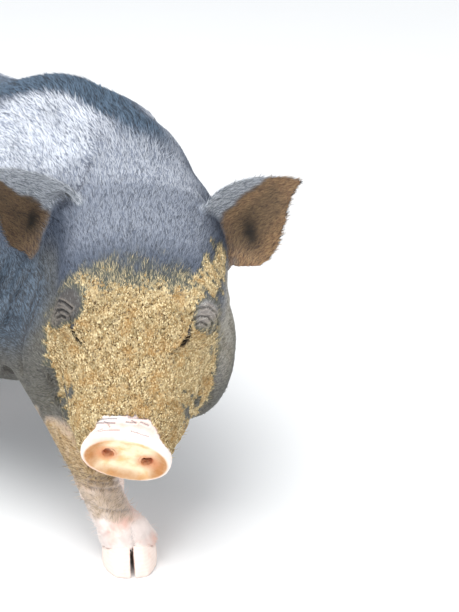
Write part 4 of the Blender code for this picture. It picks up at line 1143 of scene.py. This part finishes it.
def coat_piece(name, spots, upward, length, width, lift, form, finish, dice, sway):
    """One piece of coat: a pointed tuft of the given form at each spot, along the lie of the coat."""
    count, sections = len(spots), len(form)
    along, across = lying(spots, upward, sway, dice)
    lean = (lift * dice.uniform(0.5, 1.4, count))[:, None]
    length, width = length[:, None], width[:, None]
    centre = spots - upward * SUNK
    rows, soft, last = [], [], 0.0
    for share, fat in form + ((1.0, 0.0),):
        bend = lean * (1 - 0.65 * last)
        centre = centre + (along * np.cos(bend) + upward * np.sin(bend)) * length * (share - last)
        last = share
        for a, b in RING if fat else ((0.0, 0.0),):
            rows.append(centre + across * width * (a * fat) + upward * width * (b * fat))
            soft.append(unit(upward + 0.55 * a * across))
    size = len(rows)
    verts = np.clip(np.stack(rows, 1), np.array(cad_low) + INSIDE, np.array(cad_high) - INSIDE)
    verts = verts.reshape(-1, 3)
    soft = np.stack(soft, 1).reshape(-1, 3)
    faces = (np.arange(count)[:, None, None] * size + tuft_faces(sections)[None]).reshape(-1, 3)
    marks = {label: np.repeat(values, size) for label, values in markings(spots, upward).items()}
    marks["shade"] = np.repeat(dice.random(count), size)
    reach = [share for share, _fat in form for _corner in RING] + [1.0]
    marks["reach"] = np.tile(reach, count)
    spread = [(a * 0.45, share - 0.5) for share, _fat in form for a, _b in RING] + [(0.0, 0.5)]
    maps = (spot_on_map(spots)[:, None] + np.array(spread)[None] * PATCH).reshape(-1, 2)
    piece = new_piece(name, mesh_of(name, verts, faces, marks, maps, soft))
    piece.data.materials.append(finish)
    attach(piece, "root")
    return piece


SILVER = paint(240, 244, 251)
STEEL = paint(104, 113, 130)
CREST_SHADE_TIP = paint(98, 124, 148)
CHEEK_TIP = paint(136, 133, 120)
FAWN_TIP = paint(202, 192, 168)
OLIVE_TIP = paint(118, 116, 96)
GOLD_HAIR = paint(196, 164, 118)
SHIN_LIGHT = paint(222, 202, 166)
SHIN_DARK = paint(84, 66, 42)
SOOT = paint(26, 30, 38)
bristle = Finish("bristle", Specular_IOR_Level=0.4)
bristle_tone, bristle_marks, _crust = hide_colour(bristle)
shade = bristle.marking("shade")
reach = bristle.marking("reach")
bright = ((shade + bristle_marks["paler_and_sheen"] * 0.22).ramp(0.30, 0.62) * (0.55 + reach * 0.45)).clamped()
muddy = (bristle_marks["mud"] * 1.7 + shade * 0.7 - 0.75).ramp(0.0, 0.30)
plain = (1 - muddy) * (1 - bristle_marks["pale"]) * (1 - bristle_marks["cup"])
cheek_tip = bristle.mix(bristle_marks["paler_and_sheen"], CHEEK_TIP, FAWN_TIP)
# The bristle tips turn silver where the painted sheen and the paler hair are strongest.
grey_tip = bristle.layered(
    STEEL,
    (bristle_marks["paler_and_sheen"].ramp(0.0, 0.8), SILVER),
    (bristle_marks["mud"].ramp(0.02, 0.25) * 0.85, OLIVE_TIP),
    ((bristle_marks["brown"] * 0.8 + bristle_marks["lids"] * 0.6).clamped(), cheek_tip),
    (bristle_marks["crest"] * 0.8, CREST_SHADE_TIP),
)
gilded = (0.42 + bristle_marks["warm"] * 0.35) * (1 - bristle_marks["deep"])
darker = plain * (0.8 - bristle_marks["paler_and_sheen"] * 0.5) + bristle_marks["cup"] * 0.7 + muddy * 0.35
bristle_tone = bristle.layered(
    bristle_tone,
    (bright * plain * 0.9, grey_tip),
    (bright * bristle_marks["cup"] * gilded, GOLD_HAIR),
    (bright * muddy * 0.7, MUD_PALE),
    (bright * bristle_marks["shin"] * 0.6, SHIN_LIGHT),
    (shade.ramp(0.42, 0.25) * bristle_marks["shin"] * 0.8, SHIN_DARK),
    ((shade.ramp(0.30, 0.12) * darker).clamped(), SOOT),
)
bristle_finish = bristle.finished(bristle_tone, 0.5 + shade * 0.15)

face_local = in_head(face_middle)
bald = (1 - face_marks["disc"]) * (1 - face_marks["nostrils"]) * (1 - step(0.05, 0.3, face_slits))
rim = step(0.2035, 0.2060, face_local[:, 0]) * (face_local[:, 2] > -0.09)
bald = bald * (1 - face_marks["snout"]) * (1 - rim)
bald = bald * (1 - 0.75 * face_marks["lids"])
on_head = step(-0.09, -0.06, face_local[:, 0]) * step(-0.15, -0.13, face_local[:, 2])
on_head = on_head * (np.abs(face_local[:, 1]) < 0.17)
on_foot = step(0.11, 0.07, face_middle[:, 2])
on_ears = face_marks["ears"]
on_tail = step(0.440, 0.445, face_middle[:, 1])
in_sight = 1 + 0.6 * step(-0.05, -0.15, face_middle[:, 1]) * step(0.24, 0.30, face_middle[:, 2])
along_back = step(0.075, 0.03, np.abs(face_middle[:, 0])) * step(0.33, 0.38, face_middle[:, 2])
by_horn = step(0.036, 0.031, face_middle[:, 2]) * step(0.026, 0.028, face_middle[:, 2])
tail_end = on_tail * step(0.285, 0.225, face_middle[:, 2])
lip = step(0.150, 0.175, face_local[:, 0]) * step(-0.045, -0.060, face_local[:, 2]) * on_head
lash_line = step(0.05, 0.3, face_slits) * step(0.95, 0.6, face_slits)
on_body = (1 - on_head) * (1 - on_foot) * in_sight
on_crest = along_back * (1 - on_head) * (1 - on_ears)
# Each region: where, tufts, length, width, lift, form, sway and seed
REGIONS = {
    "coat_body": (on_body, 190000, 0.0068, 0.00084, 0.13, SHORT_TUFT, 0.28, 41),
    "coat_crest": (on_crest, 8000, 0.0120, 0.0008, 0.24, LONG_TUFT, 0.25, 42),
    "coat_head": (on_head * (1 - on_ears), 95000, 0.0060, 0.00078, 0.15, SHORT_TUFT, 0.28, 43),
    "coat_ears": (on_ears, 20000, 0.0060, 0.00055, 0.18, SHORT_TUFT, 0.30, 44),
    "coat_feet": (on_foot, 20000, 0.0066, 0.00065, 0.14, SHORT_TUFT, 0.20, 47),
    "coat_coronets": (by_horn, 4000, 0.0090, 0.00065, 0.10, SHORT_TUFT, 0.25, 48),
    "tail_switch": (tail_end, 260, 0.0700, 0.0013, 0.10, SWITCH_TUFT, 0.16, 49),
    "whiskers": (lip, 260, 0.0130, 0.0005, 0.60, LONG_TUFT, 0.35, 50),
    "lashes": (lash_line, 70, 0.0075, 0.0005, 0.85, LONG_TUFT, 0.30, 51),
}
for region, (weight, count, length, width, lift, form, sway, seed) in REGIONS.items():
    dice = np.random.default_rng(seed)
    spots, upward = scattered(count, weight * (1.0 if region == "lashes" else bald), dice)
    local = in_head(spots)
    short = 1 - 0.35 * step(0.0, 0.12, local[:, 0]) * (region == "coat_head")
    lengths = length * short * dice.uniform(0.7, 1.25, count)
    widths = width * dice.uniform(0.75, 1.3, count)
    if region == "coat_ears":
        edges = np.where(local[:, 1] > 0, np.abs(on_ear(local, 1)[1]), np.abs(on_ear(local, -1)[1]))
        lengths = lengths * (1 + 0.5 * step(0.75, 1.0, edges))
    most = PIECE_TRIANGLES // (6 * len(form) - 2)
    order = np.argsort(spots[:, 1])
    for number, start in enumerate(range(0, count, most)):
        part = order[start:start + most]
        coat_piece(f"{region}_{number + 1}", spots[part], upward[part], lengths[part], widths[part],
                   np.full(len(part), lift), form, bristle_finish, dice, sway)

# Mud. Dried sandy mud caked over the face as the pig has rooted in it: small rounded crumbs stuck
# in the bristles, close together from between the eyes to the snout and thinning out above.
CRUMBS = 24000
CRUMB_LEAST = 0.0004
CRUMB_RANGE = 0.0008
CRUMB_SWAY = 0.5
CRUMB_STANDS = 0.0003
# A crumb's length, breadth and height for its size
CRUMB_FORM = (1.75, 0.78, 0.70)
CRUMB_FACES = np.array((
    (0, 1, 4), (1, 2, 4), (2, 3, 4), (3, 0, 4), (1, 0, 5), (2, 1, 5), (3, 2, 5), (0, 3, 5)))
MUD_SOIL = paint(92, 72, 46)
MUD_CREAM = paint(240, 222, 180)
dice = np.random.default_rng(61)
mud_weight = step(0.30, 0.95, face_marks["mud"]) * (1 - face_marks["disc"])
mud_weight = mud_weight * (1 - step(0.05, 0.3, face_slits))
mud_weight = mud_weight * (0.25 + step(-0.8, 0.9, ripple(face_middle, 0.014, 33, 9)))
spots, upward = scattered(CRUMBS, mud_weight, dice)
along, across = lying(spots, upward, CRUMB_SWAY, dice)
crumb_size = CRUMB_LEAST + CRUMB_RANGE * dice.random(CRUMBS)[:, None] ** 1.8
long, broad, tall = (crumb_size * share for share in CRUMB_FORM)
centre = spots + upward * CRUMB_STANDS
verts = np.stack([
    centre + along * long, centre + across * broad, centre - along * long, centre - across * broad,
    centre + upward * tall, centre - upward * tall,
], 1).reshape(-1, 3)
faces = (np.arange(CRUMBS)[:, None, None] * 6 + CRUMB_FACES[None]).reshape(-1, 3)
# Painted light: the crumbs on the pig's left cheek, the side away from the lamps, are made paler.
painted_light = 0.50 * step(0.035, 0.075, in_head(spots)[:, 1])
crumb_shade = np.repeat(dice.random(CRUMBS) * (1 - painted_light) + painted_light, 6)
maps = np.repeat(spot_on_map(spots), 6, axis=0) + np.tile(np.array((
    (0.5, 0), (0, 0.5), (-0.5, 0), (0, -0.5), (0.1, 0.1), (-0.1, -0.1))) * PATCH, (CRUMBS, 1))
crumbs = new_piece("mud_crumbs", mesh_of("mud_crumbs", verts, faces, {"shade": crumb_shade}, maps, None))
dried = Finish("dried_mud", Specular_IOR_Level=0.2)
crumb = dried.marking("shade")
mud_tone = dried.layered(
    MUD_SOIL,
    (crumb.ramp(0.04, 0.30), MUD_TAN),
    (crumb.ramp(0.55, 0.95), MUD_CREAM),
    (dried.grain(0.020).ramp(0.48, 0.66) * 0.55, MUD_GOLD),
    (dried.grain(0.011).ramp(0.54, 0.70) * 0.45, MUD_OLIVE),
)
crumbs.data.materials.append(dried.finished(mud_tone, 0.9, dried.grain(0.0006), 0.0003, 0.6))
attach(crumbs, "root")
